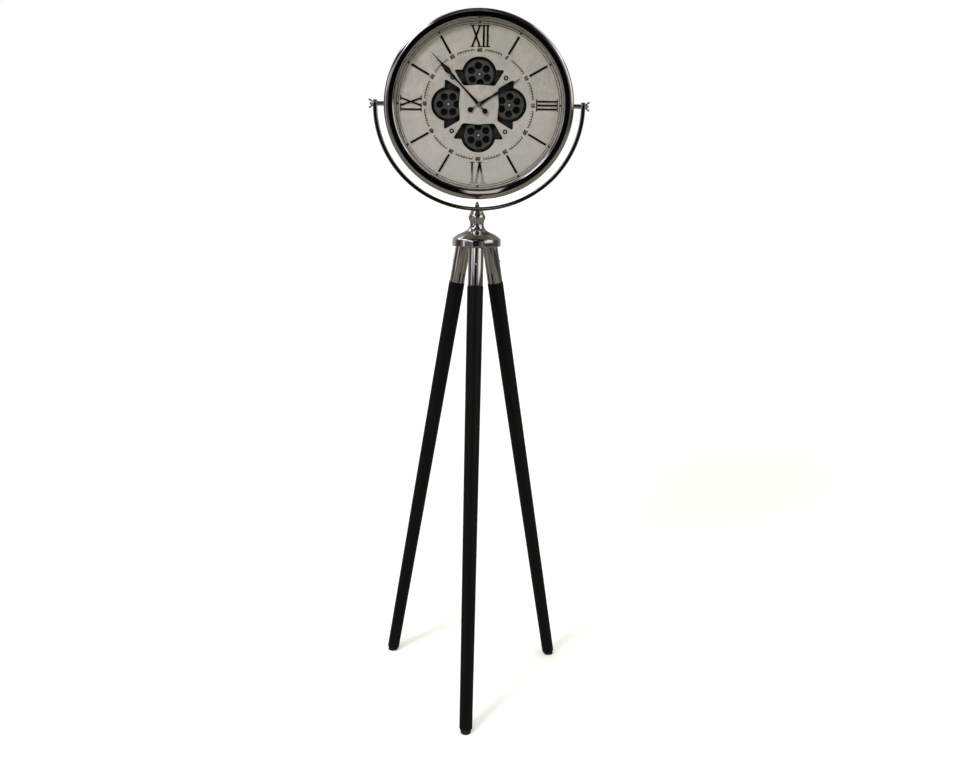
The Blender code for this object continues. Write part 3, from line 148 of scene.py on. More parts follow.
def lathe(profile: Sequence[Numbers], segments: int = FINE, closed: bool = True) -> Shape:
    """Return a profile of (radius, height) turned round Z.

    A point at radius r and height h goes to (r cos t, r sin t, h), for t in equal steps round the circle.

    Args:
        profile: the points of (radius, height).
        segments: how many steps the circle has.
        closed: whether the last point joins the first; an open profile starts and ends on the axis.

    Returns:
        The turned shape.
    """
    line = np.asarray(profile, float)
    turn = np.linspace(0, FULL_TURN, segments, endpoint=False)
    radius, height = line[:, 0:1], line[:, 1:2]
    points = np.stack(np.broadcast_arrays(radius * np.cos(turn), radius * np.sin(turn), height), axis=-1)
    return Shape(points.reshape(-1, 3), grid_faces(len(line), segments, closed, True))


def swept(stations: np.ndarray) -> Shape:
    """Return closed sections carried along a path, capped at both ends.

    Args:
        stations: points by station along the path, then round the section, then x, y and z.

    Returns:
        The closed shape.
    """
    rows, columns = stations.shape[:2]
    faces = grid_faces(rows, columns, False, True)
    faces.append(tuple(range(columns)))
    faces.append(tuple(range((rows - 1) * columns, rows * columns)))
    return Shape(stations.reshape(-1, 3), faces)


def softened(outline: Sequence[Numbers], reach: Union[float, Numbers], steps: int = 4) -> np.ndarray:
    """Return a closed outline with each corner rounded.

    A corner c between points a and b on its two edges becomes (1 - t)^2 a + 2 t (1 - t) c + t^2 b, where a
    and b lie the given reach from c, or 0.45 of the edge where that is less.

    Args:
        outline: the corners in order.
        reach: how far from the corner the rounding starts, one for all or one for each.
        steps: how many pieces each rounding has.

    Returns:
        The rounded outline's points.
    """
    corner = np.asarray(outline, float)
    before, after = np.roll(corner, 1, axis=0) - corner, np.roll(corner, -1, axis=0) - corner
    reach = np.broadcast_to(np.asarray(reach, float), (len(corner),))[:, None]
    ends = []
    for edge in (before, after):
        length = np.linalg.norm(edge, axis=1, keepdims=True)
        ends.append(corner + edge * np.minimum(reach / length, CORNER_SHARE))
    share = np.linspace(0, 1, steps + 1)[None, :, None]
    first, last = ends[0][:, None], ends[1][:, None]
    curve = (1 - share) ** 2 * first + 2 * share * (1 - share) * corner[:, None] + share ** 2 * last
    return curve.reshape(-1, corner.shape[1])


def flowing(points: Sequence[Numbers], steps: int = 8) -> np.ndarray:
    """Return a smooth line through points: between two of them, a cubic whose slopes follow their neighbours.

    Args:
        points: what the line runs through, in order.
        steps: how many pieces lie between two points.

    Returns:
        The line's points, the first and the last as given.
    """
    line = np.asarray(points, float)
    padded = np.concatenate([2 * line[:1] - line[1:2], line, 2 * line[-1:] - line[-2:-1]])
    slope = (padded[2:] - padded[:-2]) / 2
    share = np.linspace(0, 1, steps, endpoint=False)[None, :, None]
    square, cube = share ** 2, share ** 3
    start, end = line[:-1, None], line[1:, None]
    curve = ((2 * cube - 3 * square + 1) * start + (cube - 2 * square + share) * slope[:-1, None]
             + (3 * square - 2 * cube) * end + (cube - square) * slope[1:, None])
    return np.concatenate([curve.reshape(-1, line.shape[1]), line[-1:]])


def arc_points(radius: float, start: float, end: float, steps: int, centre: Numbers = (0, 0)) -> np.ndarray:
    """Return points on a circle from one angle to another, both included, counted anticlockwise from +X."""
    turn = np.linspace(start, end, steps + 1)
    return np.stack([centre[0] + radius * np.cos(turn), centre[1] + radius * np.sin(turn)], axis=1)


def circle_line(radius: float, steps: int, centre: Numbers = (0, 0)) -> np.ndarray:
    """Return a closed circle's points, the first not repeated at the end."""
    return arc_points(radius, 0, FULL_TURN, steps, centre)[:-1]


def dome(radius: float, height: float, seat: float, steps: int = 8) -> np.ndarray:
    """Return a quarter ellipse of (radius, height): from the rim at the seat to the top on the axis."""
    return arc_points(1.0, 0, QUARTER, steps) * (radius, height) + (0, seat)


def washer(radii: Numbers, depths: Numbers, edge: float, steps: int = 3, segments: int = 48) -> Shape:
    """Return a flat ring round Z: a rectangle with softened corners, turned.

    Args:
        radii: the inner and the outer radius.
        depths: the heights of the lower and the upper face.
        edge: how far the softening reaches.
        steps: how many pieces each softened corner has.
        segments: how many steps the circle has.

    Returns:
        The ring.
    """
    (inner, outer), (low, high) = radii, depths
    return lathe(softened(((inner, low), (inner, high), (outer, high), (outer, low)), edge, steps), segments)


def bar(start: Numbers, end: Numbers, width: float, low: float, high: float, edge: float) -> Shape:
    """Return a straight flat bar between two places on the dial, its upper edges bevelled.

    The section is a rectangle from low to high whose two upper corners are cut by the edge, carried from
    start to end and drawn in by the edge at both end faces' upper sides.

    Args:
        start: where the bar starts, as (x, y).
        end: where it ends.
        width: its width.
        low: the height of its underside.
        high: the height of its top.
        edge: how wide the bevel is.

    Returns:
        The closed bar.
    """
    start, end = np.asarray(start, float), np.asarray(end, float)
    along = (end - start) / np.linalg.norm(end - start)
    across = np.array((along[1], -along[0]))
    half = width / 2
    section = np.array(((-half, low), (half, low), (half, high - edge), (half - edge, high),
                        (-half + edge, high), (-half, high - edge)))
    inset = np.array((0, 0, 0, edge, edge, 0))
    rows = []
    for place, sign in ((start, 1), (end, -1)):
        flat = place + section[:, 0:1] * across + sign * inset[:, None] * along
        rows.append(np.concatenate([flat, section[:, 1:2]], axis=1))
    return swept(np.stack(rows))


def cylinder(radius: float, low: float, high: float, segments: int = 32) -> Shape:
    """Return a plain closed cylinder round Z, for cutting."""
    return lathe(((0, low), (radius, low), (radius, high), (0, high)), segments, False)


def box_shape(size: Numbers, centre: Numbers) -> Shape:
    """Return a plain block: the eight sign combinations of half its size about a centre.

    Args:
        size: its three sides.
        centre: its middle.

    Returns:
        The block.
    """
    signs = np.array([(x, y, z) for z in (-1, 1) for y, x in ((-1, -1), (-1, 1), (1, 1), (1, -1))], float)
    points = signs * np.asarray(size) / 2 + np.asarray(centre)
    faces = [(0, 3, 2, 1), (4, 5, 6, 7), (0, 1, 5, 4), (1, 2, 6, 5), (2, 3, 7, 6), (3, 0, 4, 7)]
    return Shape(points, faces)


def linked(name: str, data: bpy.types.ID) -> bpy.types.Object:
    """Return a new object of the data, linked to the scene."""
    made = bpy.data.objects.new(name, data)
    bpy.context.scene.collection.objects.link(made)
    return made


def welded(shape: Shape, name: str) -> bpy.types.Mesh:
    """Return a shape as a mesh, with doubles merged and faces pointing outwards.

    Args:
        shape: the points and faces.
        name: the mesh's name.

    Returns:
        The mesh, smooth but for its sharp edges.
    """
    mesh = bpy.data.meshes.new(name)
    mesh.from_pydata(shape.points.tolist(), [], shape.faces)
    work = bmesh.new()
    work.from_mesh(mesh)
    bmesh.ops.remove_doubles(work, verts=work.verts, dist=WELD)
    bmesh.ops.recalc_face_normals(work, faces=work.faces)
    work.to_mesh(mesh)
    work.free()
    mesh.shade_smooth()
    mesh.set_sharp_from_angle(angle=SMOOTH_ANGLE)
    return mesh


def mesh_of(thing: bpy.types.Object, name: str) -> bpy.types.Mesh:
    """Return the mesh of a text, a curve or an object with modifiers, and delete the object.

    Args:
        thing: the object.
        name: the mesh's name.

    Returns:
        The mesh in the object's own frame.
    """
    graph = bpy.context.evaluated_depsgraph_get()
    mesh = bpy.data.meshes.new_from_object(thing.evaluated_get(graph))
    mesh.name = name
    bpy.data.objects.remove(thing)
    return mesh


def shape_of(mesh: bpy.types.Mesh) -> Shape:
    """Return a mesh's points and faces as a shape, and delete the mesh.

    Args:
        mesh: the mesh, which nothing else uses.

    Returns:
        The shape.
    """
    points = np.empty(len(mesh.vertices) * 3)
    mesh.vertices.foreach_get("co", points)
    faces = [tuple(face.vertices) for face in mesh.polygons]
    bpy.data.meshes.remove(mesh)
    return Shape(points.reshape(-1, 3), faces)


def sheet_shape(outlines: Sequence[np.ndarray], low: float, high: float, bevel: float,
                steps: int = 2) -> Shape:
    """Return a flat plate from closed outlines, which are filled, given their thickness and bevelled.

    The edges are rounded outwards from lines that are first drawn in by the bevel.

    Args:
        outlines: the rim and then the holes.
        low: the height of the lower face.
        high: the height of the upper face.
        bevel: the rounding's radius.
        steps: how fine the rounding is.

    Returns:
        The plate.
    """
    curve = bpy.data.curves.new("plate_lines", "CURVE")
    curve.dimensions, curve.fill_mode = "2D", "BOTH"
    curve.extrude, curve.bevel_depth, curve.bevel_resolution = (high - low) / 2 - bevel, bevel, steps
    curve.offset = -bevel
    for outline in outlines:
        spline = curve.splines.new("POLY")
        spline.points.add(len(outline) - 1)
        flat = np.column_stack([outline, np.zeros(len(outline)), np.ones(len(outline))])
        spline.points.foreach_set("co", flat.ravel())
        spline.use_cyclic_u = True
    plate = shape_of(mesh_of(linked("plate_lines", curve), "plate"))
    return plate.placed(Matrix.Translation((0, 0, (low + high) / 2)))


def cut_away(mesh: bpy.types.Mesh, cutter: Shape) -> bpy.types.Mesh:
    """Return a mesh with a closed shape cut out of it.

    Args:
        mesh: the closed mesh to cut.
        cutter: what is taken away.

    Returns:
        The cut mesh, under the same name.
    """
    body = linked("cut_body", mesh)
    knife = linked("cut_knife", welded(cutter, "cut_knife"))
    cut = body.modifiers.new("cut", "BOOLEAN")
    cut.operation, cut.object, cut.solver = "DIFFERENCE", knife, "EXACT"
    bpy.context.view_layer.update()
    made = mesh_of(body, mesh.name)
    bpy.data.objects.remove(knife)
    made.set_sharp_from_angle(angle=SMOOTH_ANGLE)
    return made


class Signal:
    """A number in a material: wraps an output socket, so that sums and products make Math nodes."""

    def __init__(self, paint: "Paint", socket: bpy.types.NodeSocket) -> None:
        """Keep the socket and the material it belongs to."""
        self.paint, self.socket = paint, socket

    def math(self, operation: str, *others: Union["Signal", float]) -> "Signal":
        """Return the result of a Math node on this number and the others."""
        return self.paint.math(operation, self, *others)

    def __add__(self, other: Union["Signal", float]) -> "Signal":
        """Return self plus other."""
        return self.math("ADD", other)

    def __radd__(self, other: float) -> "Signal":
        """Return other plus self."""
        return self.math("ADD", other)

    def __sub__(self, other: Union["Signal", float]) -> "Signal":
        """Return self less other."""
        return self.math("SUBTRACT", other)

    def __rsub__(self, other: float) -> "Signal":
        """Return other less self."""
        return self.paint.math("SUBTRACT", other, self)

    def __mul__(self, other: Union["Signal", float]) -> "Signal":
        """Return self times other."""
        return self.math("MULTIPLY", other)

    def __rmul__(self, other: float) -> "Signal":
        """Return other times self."""
        return self.math("MULTIPLY", other)

    def __truediv__(self, other: Union["Signal", float]) -> "Signal":
        """Return self divided by other."""
        return self.math("DIVIDE", other)

    def __rtruediv__(self, other: float) -> "Signal":
        """Return other divided by self."""
        return self.paint.math("DIVIDE", other, self)

    def step(self, low: float, high: float) -> "Signal":
        """Return 0 below low and 1 above high, with a smooth rise between them."""
        node = self.paint.node("ShaderNodeMapRange", {"interpolation_type": "SMOOTHSTEP"}, Value=self,
                               **{"From Min": low, "From Max": high})
        return Signal(self.paint, node.outputs["Result"])


class Paint:
    """One node tree, with one method that makes any node and short names for the common ones."""

    def __init__(self, tree: bpy.types.NodeTree) -> None:
        """Empty the tree."""
        self.tree = tree
        tree.nodes.clear()

    def node(self, kind: str, settings: Optional[dict] = None, **sockets: object) -> bpy.types.Node:
        """Make a node.

        Args:
            kind: the node's type.
            settings: its own settings, or a ramp's stops under the key "stops"; they are set first.
            sockets: values or links by socket name, where a name like s0 counts the inputs.

        Returns:
            The new node.
        """
        made = self.tree.nodes.new(kind)
        for key, value in (settings or {}).items():
            if key == "stops":
                self.set_stops(made.color_ramp, value)
            else:
                setattr(made, key, value)
        for key, value in sockets.items():
            counted = key[0] == "s" and key[1:].isdigit()
            socket = made.inputs[int(key[1:])] if counted else made.inputs[key]
            source = value.socket if isinstance(value, Signal) else value
            if isinstance(source, bpy.types.NodeSocket):
                self.tree.links.new(source, socket)
            else:
                socket.default_value = source
        return made

    @staticmethod
    def set_stops(ramp: bpy.types.ColorRamp, stops: Sequence[tuple]) -> None:
        """Give a ramp its stops.

        Args:
            ramp: the ramp of a new node.
            stops: each stop's place and colour.
        """
        while len(ramp.elements) < len(stops):
            ramp.elements.new(1.0)
        for element, (place, colour) in zip(ramp.elements, stops):
            element.position, element.color = place, (*colour, 1.0)

    def math(self, operation: str, *values: Union[Signal, float]) -> Signal:
        """Return the result of a Math node."""
        sockets = {f"s{index}": value for index, value in enumerate(values)}
        return Signal(self, self.node("ShaderNodeMath", {"operation": operation}, **sockets).outputs[0])

    def place(self, centre: Numbers = (0, 0, 0), scale: Numbers = (1, 1, 1),
              attribute: str = "") -> bpy.types.NodeSocket:
        """Return coordinates of the surface, less a centre and times a scale.

        Args:
            centre: what is taken off.
            scale: what each direction is multiplied by.
            attribute: the mesh attribute that holds the coordinates, or nothing for Object coordinates.

        Returns:
            The socket that gives them.
        """
        if attribute:
            start = self.node("ShaderNodeAttribute", {"attribute_name": attribute}).outputs["Vector"]
        else:
            start = self.node("ShaderNodeTexCoord").outputs["Object"]
        moved = self.node("ShaderNodeVectorMath", {"operation": "SUBTRACT"}, s0=start, s1=tuple(centre))
        return self.node("ShaderNodeVectorMath", {"operation": "MULTIPLY"}, s0=moved.outputs[0],
                         s1=tuple(scale)).outputs[0]

    def noise(self, place: bpy.types.NodeSocket, scale: float, detail: float = 3.0,
              rough: float = 0.5) -> Signal:
        """Return a cloudy number about 0.5."""
        made = self.node("ShaderNodeTexNoise", None, Vector=place, Scale=scale, Detail=detail,
                         Roughness=rough)
        return Signal(self, made.outputs["Fac"])

    def split(self, place: bpy.types.NodeSocket) -> tuple:
        """Return a vector's three numbers."""
        made = self.node("ShaderNodeSeparateXYZ", None, s0=place)
        return tuple(Signal(self, socket) for socket in made.outputs)

    def blend(self, share: Union[Signal, float], first: object, second: object,
              way: str = "MIX") -> bpy.types.NodeSocket:
        """Return a colour mixed from two by a share."""
        made = self.node("ShaderNodeMix", {"data_type": "RGBA", "blend_type": way}, s0=share,
                         s6=self.opaque(first), s7=self.opaque(second))
        return made.outputs[2]

    @staticmethod
    def opaque(colour: object) -> object:
        """Return a written colour with its alpha, or a link as it is."""
        return (*colour, 1.0) if isinstance(colour, tuple) and len(colour) == 3 else colour

    def bump(self, height: Signal, depth: float) -> bpy.types.NodeSocket:
        """Return a normal that follows a height of 0 to 1 times a depth in metres."""
        return self.node("ShaderNodeBump", None, Strength=1.0, Distance=depth, Height=height).outputs[0]

    def surface(self, **sockets: object) -> None:
        """Make the surface shader with its socket values and join it to the output."""
        shader = self.node("ShaderNodeBsdfPrincipled", None, **sockets)
        self.node("ShaderNodeOutputMaterial", None, s0=shader.outputs[0])


def toned(colour: Numbers, factor: Union[float, Numbers], lift: float = 0.0) -> tuple:
    """Return a written colour times a factor, or one for each channel, plus a lift."""
    return tuple(float(channel) for channel in np.asarray(colour, float) * np.asarray(factor, float) + lift)


@dataclass(frozen=True)
class Finish:
    """The finish of a surface: a name, a colour and how it takes light."""

    name: str
    colour: tuple = (0.5, 0.5, 0.5)
    metallic: float = 0.0
    roughness: float = 0.4

    def paint(self, paint: Paint) -> None:
        """Fill the node tree; each kind of finish has its own."""
        raise NotImplementedError

    def material(self) -> bpy.types.Material:
        """Return the finish's material, made the first time it is asked for."""
        made = bpy.data.materials.get(self.name)
        if made is None:
            made = bpy.data.materials.new(self.name)
            made.use_nodes = True
            self.paint(Paint(made.node_tree))
        return made


@dataclass(frozen=True)
class Plating(Finish):
    """Polished plate: an even bright metal with faint wiping marks and slow waves in its gloss."""

    wave: float = 0.00002
    unevenness: float = 1.0
    stain_scale: float = 9.0
    fine_scale: float = 160.0
    wiping_scale: float = 240.0
    wave_scale: float = 14.0
    dullness: float = 0.86

    def paint(self, paint: Paint) -> None:
        """Slow noise stains the colour, fine noise and stretched wiping marks vary the roughness.

        Args:
            paint: the material's empty tree.
        """
        place = paint.place()
        slow, fine = paint.noise(place, self.stain_scale, 2.0), paint.noise(place, self.fine_scale, 3.0)
        wiped = paint.noise(paint.place(scale=(1, 1, 0.12)), self.wiping_scale, 2.0)
        colour = paint.blend(slow.step(0.45, 0.85), self.colour, toned(self.colour, self.dullness))
        roughness = self.roughness + ((fine - 0.5) * 0.02 + wiped.step(0.56, 0.8) * 0.05) * self.unevenness
        normal = paint.bump(paint.noise(place, self.wave_scale, 1.0), self.wave)
        paint.surface(**{"Base Color": colour, "Metallic": self.metallic, "Roughness": roughness,
                         "Normal": normal})


@dataclass(frozen=True)
class TurnedMetal(Finish):
    """Metal with fine marks of the lathe round an axis."""

    rim: float = 0.0303
    rim_blend: float = 0.0008
    rim_shade: float = 0.2
    ring_scale: float = 1400.0
    ring_depth: float = 0.00004
    stain_scale: float = 60.0

    def paint(self, paint: Paint) -> None:
        """The distance to the piece's own axis gives fine rings, and a painted shade darkens a band outside
        the rim radius, where the teeth lie in shadow.

        Args:
            paint: the material's empty tree.
        """
        across, up, _ = paint.split(paint.place(attribute="own_place"))
        distance = (across * across + up * up).math("SQRT")
        outwards = paint.node("ShaderNodeCombineXYZ", None, s0=distance, s1=0.0, s2=0.0).outputs[0]
        rings = paint.noise(outwards, self.ring_scale)
        stain = paint.noise(paint.place(), self.stain_scale, 4.0)
        colour = paint.blend(stain.step(0.35, 0.8), self.colour, toned(self.colour, 0.7))
        # painted shade: the band outside the rim radius is darkened as the teeth's shadow
        outside = distance.step(self.rim, self.rim + self.rim_blend)
        colour = paint.blend(outside, colour, toned(self.colour, self.rim_shade))
        roughness, normal = self.roughness + (rings - 0.5) * 0.22, paint.bump(rings, self.ring_depth)
        paint.surface(**{"Base Color": colour, "Metallic": self.metallic, "Roughness": roughness,
                         "Normal": normal})


@dataclass(frozen=True)
class BlackLacquer(Finish):
    """Black satin lacquer over wood, whose grain runs along the leg and shows in the gloss."""

    stretch: float = 0.035
    grain_scale: float = 210.0
    pore_scale: float = 900.0
    wear_scale: float = 5.0
    grain_depth: float = 0.00012
    sheen: float = 0.24

    def paint(self, paint: Paint) -> None:
        """Noise stretched along the leg's own length gives pores and a faint lighter grain.

        Args:
            paint: the material's empty tree.
        """
        along = paint.place(attribute="own_place", scale=(1, 1, self.stretch))
        grain = paint.noise(along, self.grain_scale, 4.0, 0.6)
        pores = paint.noise(along, self.pore_scale, 2.0)
        worn = paint.noise(paint.place(), self.wear_scale, 3.0)
        light = toned(self.colour, 2.0, 0.003)
        colour = paint.blend(grain.step(0.48, 0.78) * worn.step(0.3, 0.7), self.colour, light)
        roughness = self.roughness + (grain - 0.5) * 0.16 + (worn - 0.5) * 0.08
        normal = paint.bump(grain * 0.6 + pores.step(0.55, 0.75) * 0.4, self.grain_depth)
        paint.surface(**{"Base Color": colour, "Roughness": roughness, "Normal": normal,
                         "Specular IOR Level": self.sheen})


@dataclass(frozen=True)
class Moulded(Finish):
    """Moulded plastic or rubber with a fine spark-eroded texture."""

    grain: float = 900.0
    depth: float = 0.00008
    scuff_scale: float = 38.0

    def paint(self, paint: Paint) -> None:
        """Fine noise gives the texture, slow noise the scuffs.

        Args:
            paint: the material's empty tree.
        """
        place = paint.place()
        fine, scuffs = paint.noise(place, self.grain, 2.0), paint.noise(place, self.scuff_scale, 5.0, 0.65)
        colour = paint.blend(scuffs.step(0.5, 0.82), self.colour, toned(self.colour, 1.9, 0.0015))
        roughness = self.roughness + (scuffs - 0.5) * 0.25
        paint.surface(**{"Base Color": colour, "Roughness": roughness,
                         "Normal": paint.bump(fine, self.depth)})


@dataclass(frozen=True)
class AgedDial(Finish):
    """The dial's warm grey board: a printed parchment-like mottle with a matt varnish, and painted shade
    towards the top and painted light towards the bottom.
    """

    # the stains' colour, which is also the painted shade towards the top
    shade: tuple = (0.305, 0.272, 0.222)
    rosy: tuple = (1.10, 1.00, 0.98)
    cool: tuple = (0.90, 0.91, 0.90)
    broad_scale: float = 7.0
    middle_scale: float = 34.0
    blotch_scale: float = 95.0
    speckle_scale: float = 420.0
    speckle_depth: float = 0.00003
    drift: float = 0.12

    def paint(self, paint: Paint) -> None:
        """Three sizes of cloud stain the colour, a painted shade darkens and yellows it towards the top, a
        painted light brightens it towards the bottom, and a fine speckle roughens it.

        Args:
            paint: the material's empty tree.
        """
        centre = (0, 0, CLOCK_HEIGHT)
        place = paint.place(centre)
        broad = paint.noise(place, self.broad_scale, 4.0, 0.6)
        middle = paint.noise(place, self.middle_scale, 5.0, 0.62)
        speckle = paint.noise(place, self.speckle_scale, 2.0)
        blotches = paint.noise(paint.place(centre, (1, 1, 0.55)), self.blotch_scale, 3.0, 0.6)
        height = paint.split(place)[2] + (broad - 0.5) * self.drift
        cool, rosy = toned(self.colour, self.cool), toned(self.colour, self.rosy)
        colour = paint.blend(middle.step(0.40, 0.62), cool, rosy)
        colour = paint.blend(blotches.step(0.50, 0.64) * 0.42, colour, self.shade)
        colour = paint.blend(broad.step(0.5, 0.8) * 0.4, colour, self.shade)
        # painted shade: darker and yellower towards the top, where the bezel's shadow falls
        colour = paint.blend(height.step(0.02, 0.20) * 0.5, colour, self.shade)
        # painted light: brighter towards the bottom
        colour = paint.blend(height.step(0.05, -0.16) * 0.8, colour, toned(self.colour, 1.10))
        colour = paint.blend(speckle.step(0.52, 0.68) * 0.6, colour, toned(self.colour, 0.80))
        roughness, normal = self.roughness + (middle - 0.5) * 0.2, paint.bump(speckle, self.speckle_depth)
        paint.surface(**{"Base Color": colour, "Roughness": roughness, "Normal": normal})


@dataclass(frozen=True)
class Ink(Finish):
    """Printed ink, a little uneven in its strength."""

    faded: tuple = (0.2, 0.18, 0.15)
    wear_scale: float = 120.0

    def paint(self, paint: Paint) -> None:
        """Noise mixes the full and the faded colour.

        Args:
            paint: the material's empty tree.
        """
        worn = paint.noise(paint.place(), self.wear_scale, 4.0, 0.6)
        colour = paint.blend(worn.step(0.35, 0.75) * 0.7, self.colour, self.faded)
        paint.surface(**{"Base Color": colour, "Roughness": self.roughness + (worn - 0.5) * 0.2})


@dataclass(frozen=True)
class ClearGlass(Finish):
    """A thin pane: see-through, with a gloss that grows towards its edges."""

    bending: float = 1.22

    def paint(self, paint: Paint) -> None:
        """A Fresnel share mixes a clear and a glossy shader.

        Args:
            paint: the material's empty tree.
        """
        clear = paint.node("ShaderNodeBsdfTransparent", None, Color=(*self.colour, 1.0))
        gloss = paint.node("ShaderNodeBsdfGlossy", None, Color=(1, 1, 1, 1), Roughness=self.roughness)
        share = paint.node("ShaderNodeFresnel", None, IOR=self.bending)
        mixed = paint.node("ShaderNodeMixShader", None, s0=share.outputs[0], s1=clear.outputs[0],
                           s2=gloss.outputs[0])
        paint.node("ShaderNodeOutputMaterial", None, s0=mixed.outputs[0])


# Each finish's name, colour, metallic share and roughness, and what its kind adds
CHROME = Plating("chrome_plating", (0.74, 0.72, 0.70), 1.0, 0.045)
BEZEL_CHROME = Plating("bezel_chrome", (0.74, 0.72, 0.70), 1.0, 0.02, 0.000005, 0.3)
STEEL = Plating("bright_steel", (0.62, 0.61, 0.60), 1.0, 0.28)
RIVET_STEEL = Plating("rivet_steel", (0.46, 0.47, 0.44), 0.35, 0.42)
SCREW_STEEL = Plating("screw_steel", (0.55, 0.51, 0.46), 0.4, 0.42)
MARKER_METAL = Plating("dark_mirror_metal", (0.52, 0.48, 0.45), 1.0, 0.016, 0.0000005, 0.15)
LEG_LACQUER = BlackLacquer("black_lacquer", (0.0020, 0.0022, 0.0021), 0.0, 0.42)
FOOT_RUBBER = Moulded("foot_rubber", (0.014, 0.014, 0.014), 0.0, 0.78, 700.0, 0.00015)
# the dial and the slanted ring both carry the painted shade at the top and the painted light at the bottom
DIAL_BOARD = AgedDial("aged_dial", (0.455, 0.396, 0.370), 0.0, 0.62)
REHAUT_PAINT = AgedDial("slanted_ring_paint", (0.42, 0.37, 0.325), 0.0, 0.5)
PRINT_INK = Ink("dial_ink", (0.034, 0.026, 0.020), 0.0, 0.6, (0.08, 0.066, 0.052))
COMB_INK = Ink("comb_ink", (0.065, 0.058, 0.05), 0.0, 0.6, (0.19, 0.17, 0.145))
DOT_INK = Ink("dot_ink", (0.02, 0.018, 0.016), 0.0, 0.4, (0.05, 0.045, 0.04))
NUT_STEEL = Plating("dark_nut_steel", (0.17, 0.15, 0.135), 0.4, 0.42)
HAND_PAINT = Moulded("hand_lacquer", (0.0025, 0.0024, 0.003), 0.0, 0.5, 500.0, 0.00002)
WHEEL_METAL = TurnedMetal("turned_wheel_metal", (0.082, 0.075, 0.067), 0.3, 0.5, 0.0340)
# the idlers' colour is darkened past the wheels' to paint the shade of the recess behind the board
IDLER_METAL_IN_PAINTED_SHADE = TurnedMetal("turned_idler_metal", (0.022, 0.022, 0.020), 0.3, 0.5, 0.0270)
# near black, made darker still to paint the shade of the recess behind the windows; the leg hub shares it
PLATE_PAINT = Moulded("gear_plate_paint", (0.0012, 0.0013, 0.0012), 0.0, 0.75, 600.0, 0.00006)
# black for the pieces that paint shadow: the strips in the windows and the rings round the dial screws and the
# rivets
PAINTED_SHADOW_BLACK = Moulded("edge_black", (0.004, 0.0035, 0.003), 0.0, 0.7, 500.0, 0.00002)
MOULDED_BLACK = Moulded("moulded_plastic", (0.022, 0.022, 0.023), 0.0, 0.42)
CELL_JACKET = Moulded("cell_jacket", (0.16, 0.165, 0.17), 0.0, 0.3, 300.0, 0.00001)
PANE = ClearGlass("clear_pane", (0.97, 0.985, 0.98), 0.0, 0.03)


@dataclass(frozen=True)
class Piece:
    """What a finished mesh is called, what it rides on, what it stands for and how it is finished."""

    name: str
    body: str
    slot: str
    finish: Finish
    replaces: tuple = ()

    def add(self, shape: Union[Shape, bpy.types.Mesh], place: Optional[Matrix] = None) -> bpy.types.Object:
        """Make the piece's object from a shape in its own frame and put its place into its points.

        Args:
            shape: a shape, or a mesh that is already closed.
            place: where the piece's own frame stands.

        Returns:
            The object, at the origin and unturned.
        """
        mesh = welded(shape, self.name) if isinstance(shape, Shape) else shape
        own = np.empty(len(mesh.vertices) * 3, np.float32)
        mesh.vertices.foreach_get("co", own)
        mesh.attributes.new("own_place", "FLOAT_VECTOR", "POINT").data.foreach_set("vector", own)
        mesh.transform(place or Matrix.Identity(4))
        mesh.materials.clear()
        mesh.materials.append(self.finish.material())
        thing = bpy.data.objects.new(self.name, mesh)
        bpy.context.scene.collection.objects.link(thing)
        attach(thing, self.body)
        if self.replaces:
            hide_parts(*self.replaces)
        LOG.info("%s: %d faces on %s", self.name, len(mesh.polygons), self.body)
        return thing


def refinish(node: str, finish: Finish) -> None:
    """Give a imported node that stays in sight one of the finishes.

    Args:
        node: the node's name.
        finish: what all its material slots get.
    """
    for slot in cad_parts[node].material_slots:
        slot.material = finish.material()
    LOG.info("%s: keeps its packed shape", node)


def headed(shank: Numbers, head: Numbers, seat: float, segments: int) -> Shape:
    """Return a screw or a rivet round Z: a shank, and a head with a straight side and a domed top.

    Args:
        shank: its radius, its end and the height where the head starts.
        head: the head's radius and how far its dome rises.
        seat: the height where the dome starts.
        segments: how many steps the circle has.

    Returns:
        The closed shape.
    """
    (radius, end, under), (wide, rise) = shank, head
    foot = ((0, end), (radius, end), (radius, under), (wide, under))
    return lathe(np.concatenate([foot, dome(wide, rise, seat)]), segments, False)


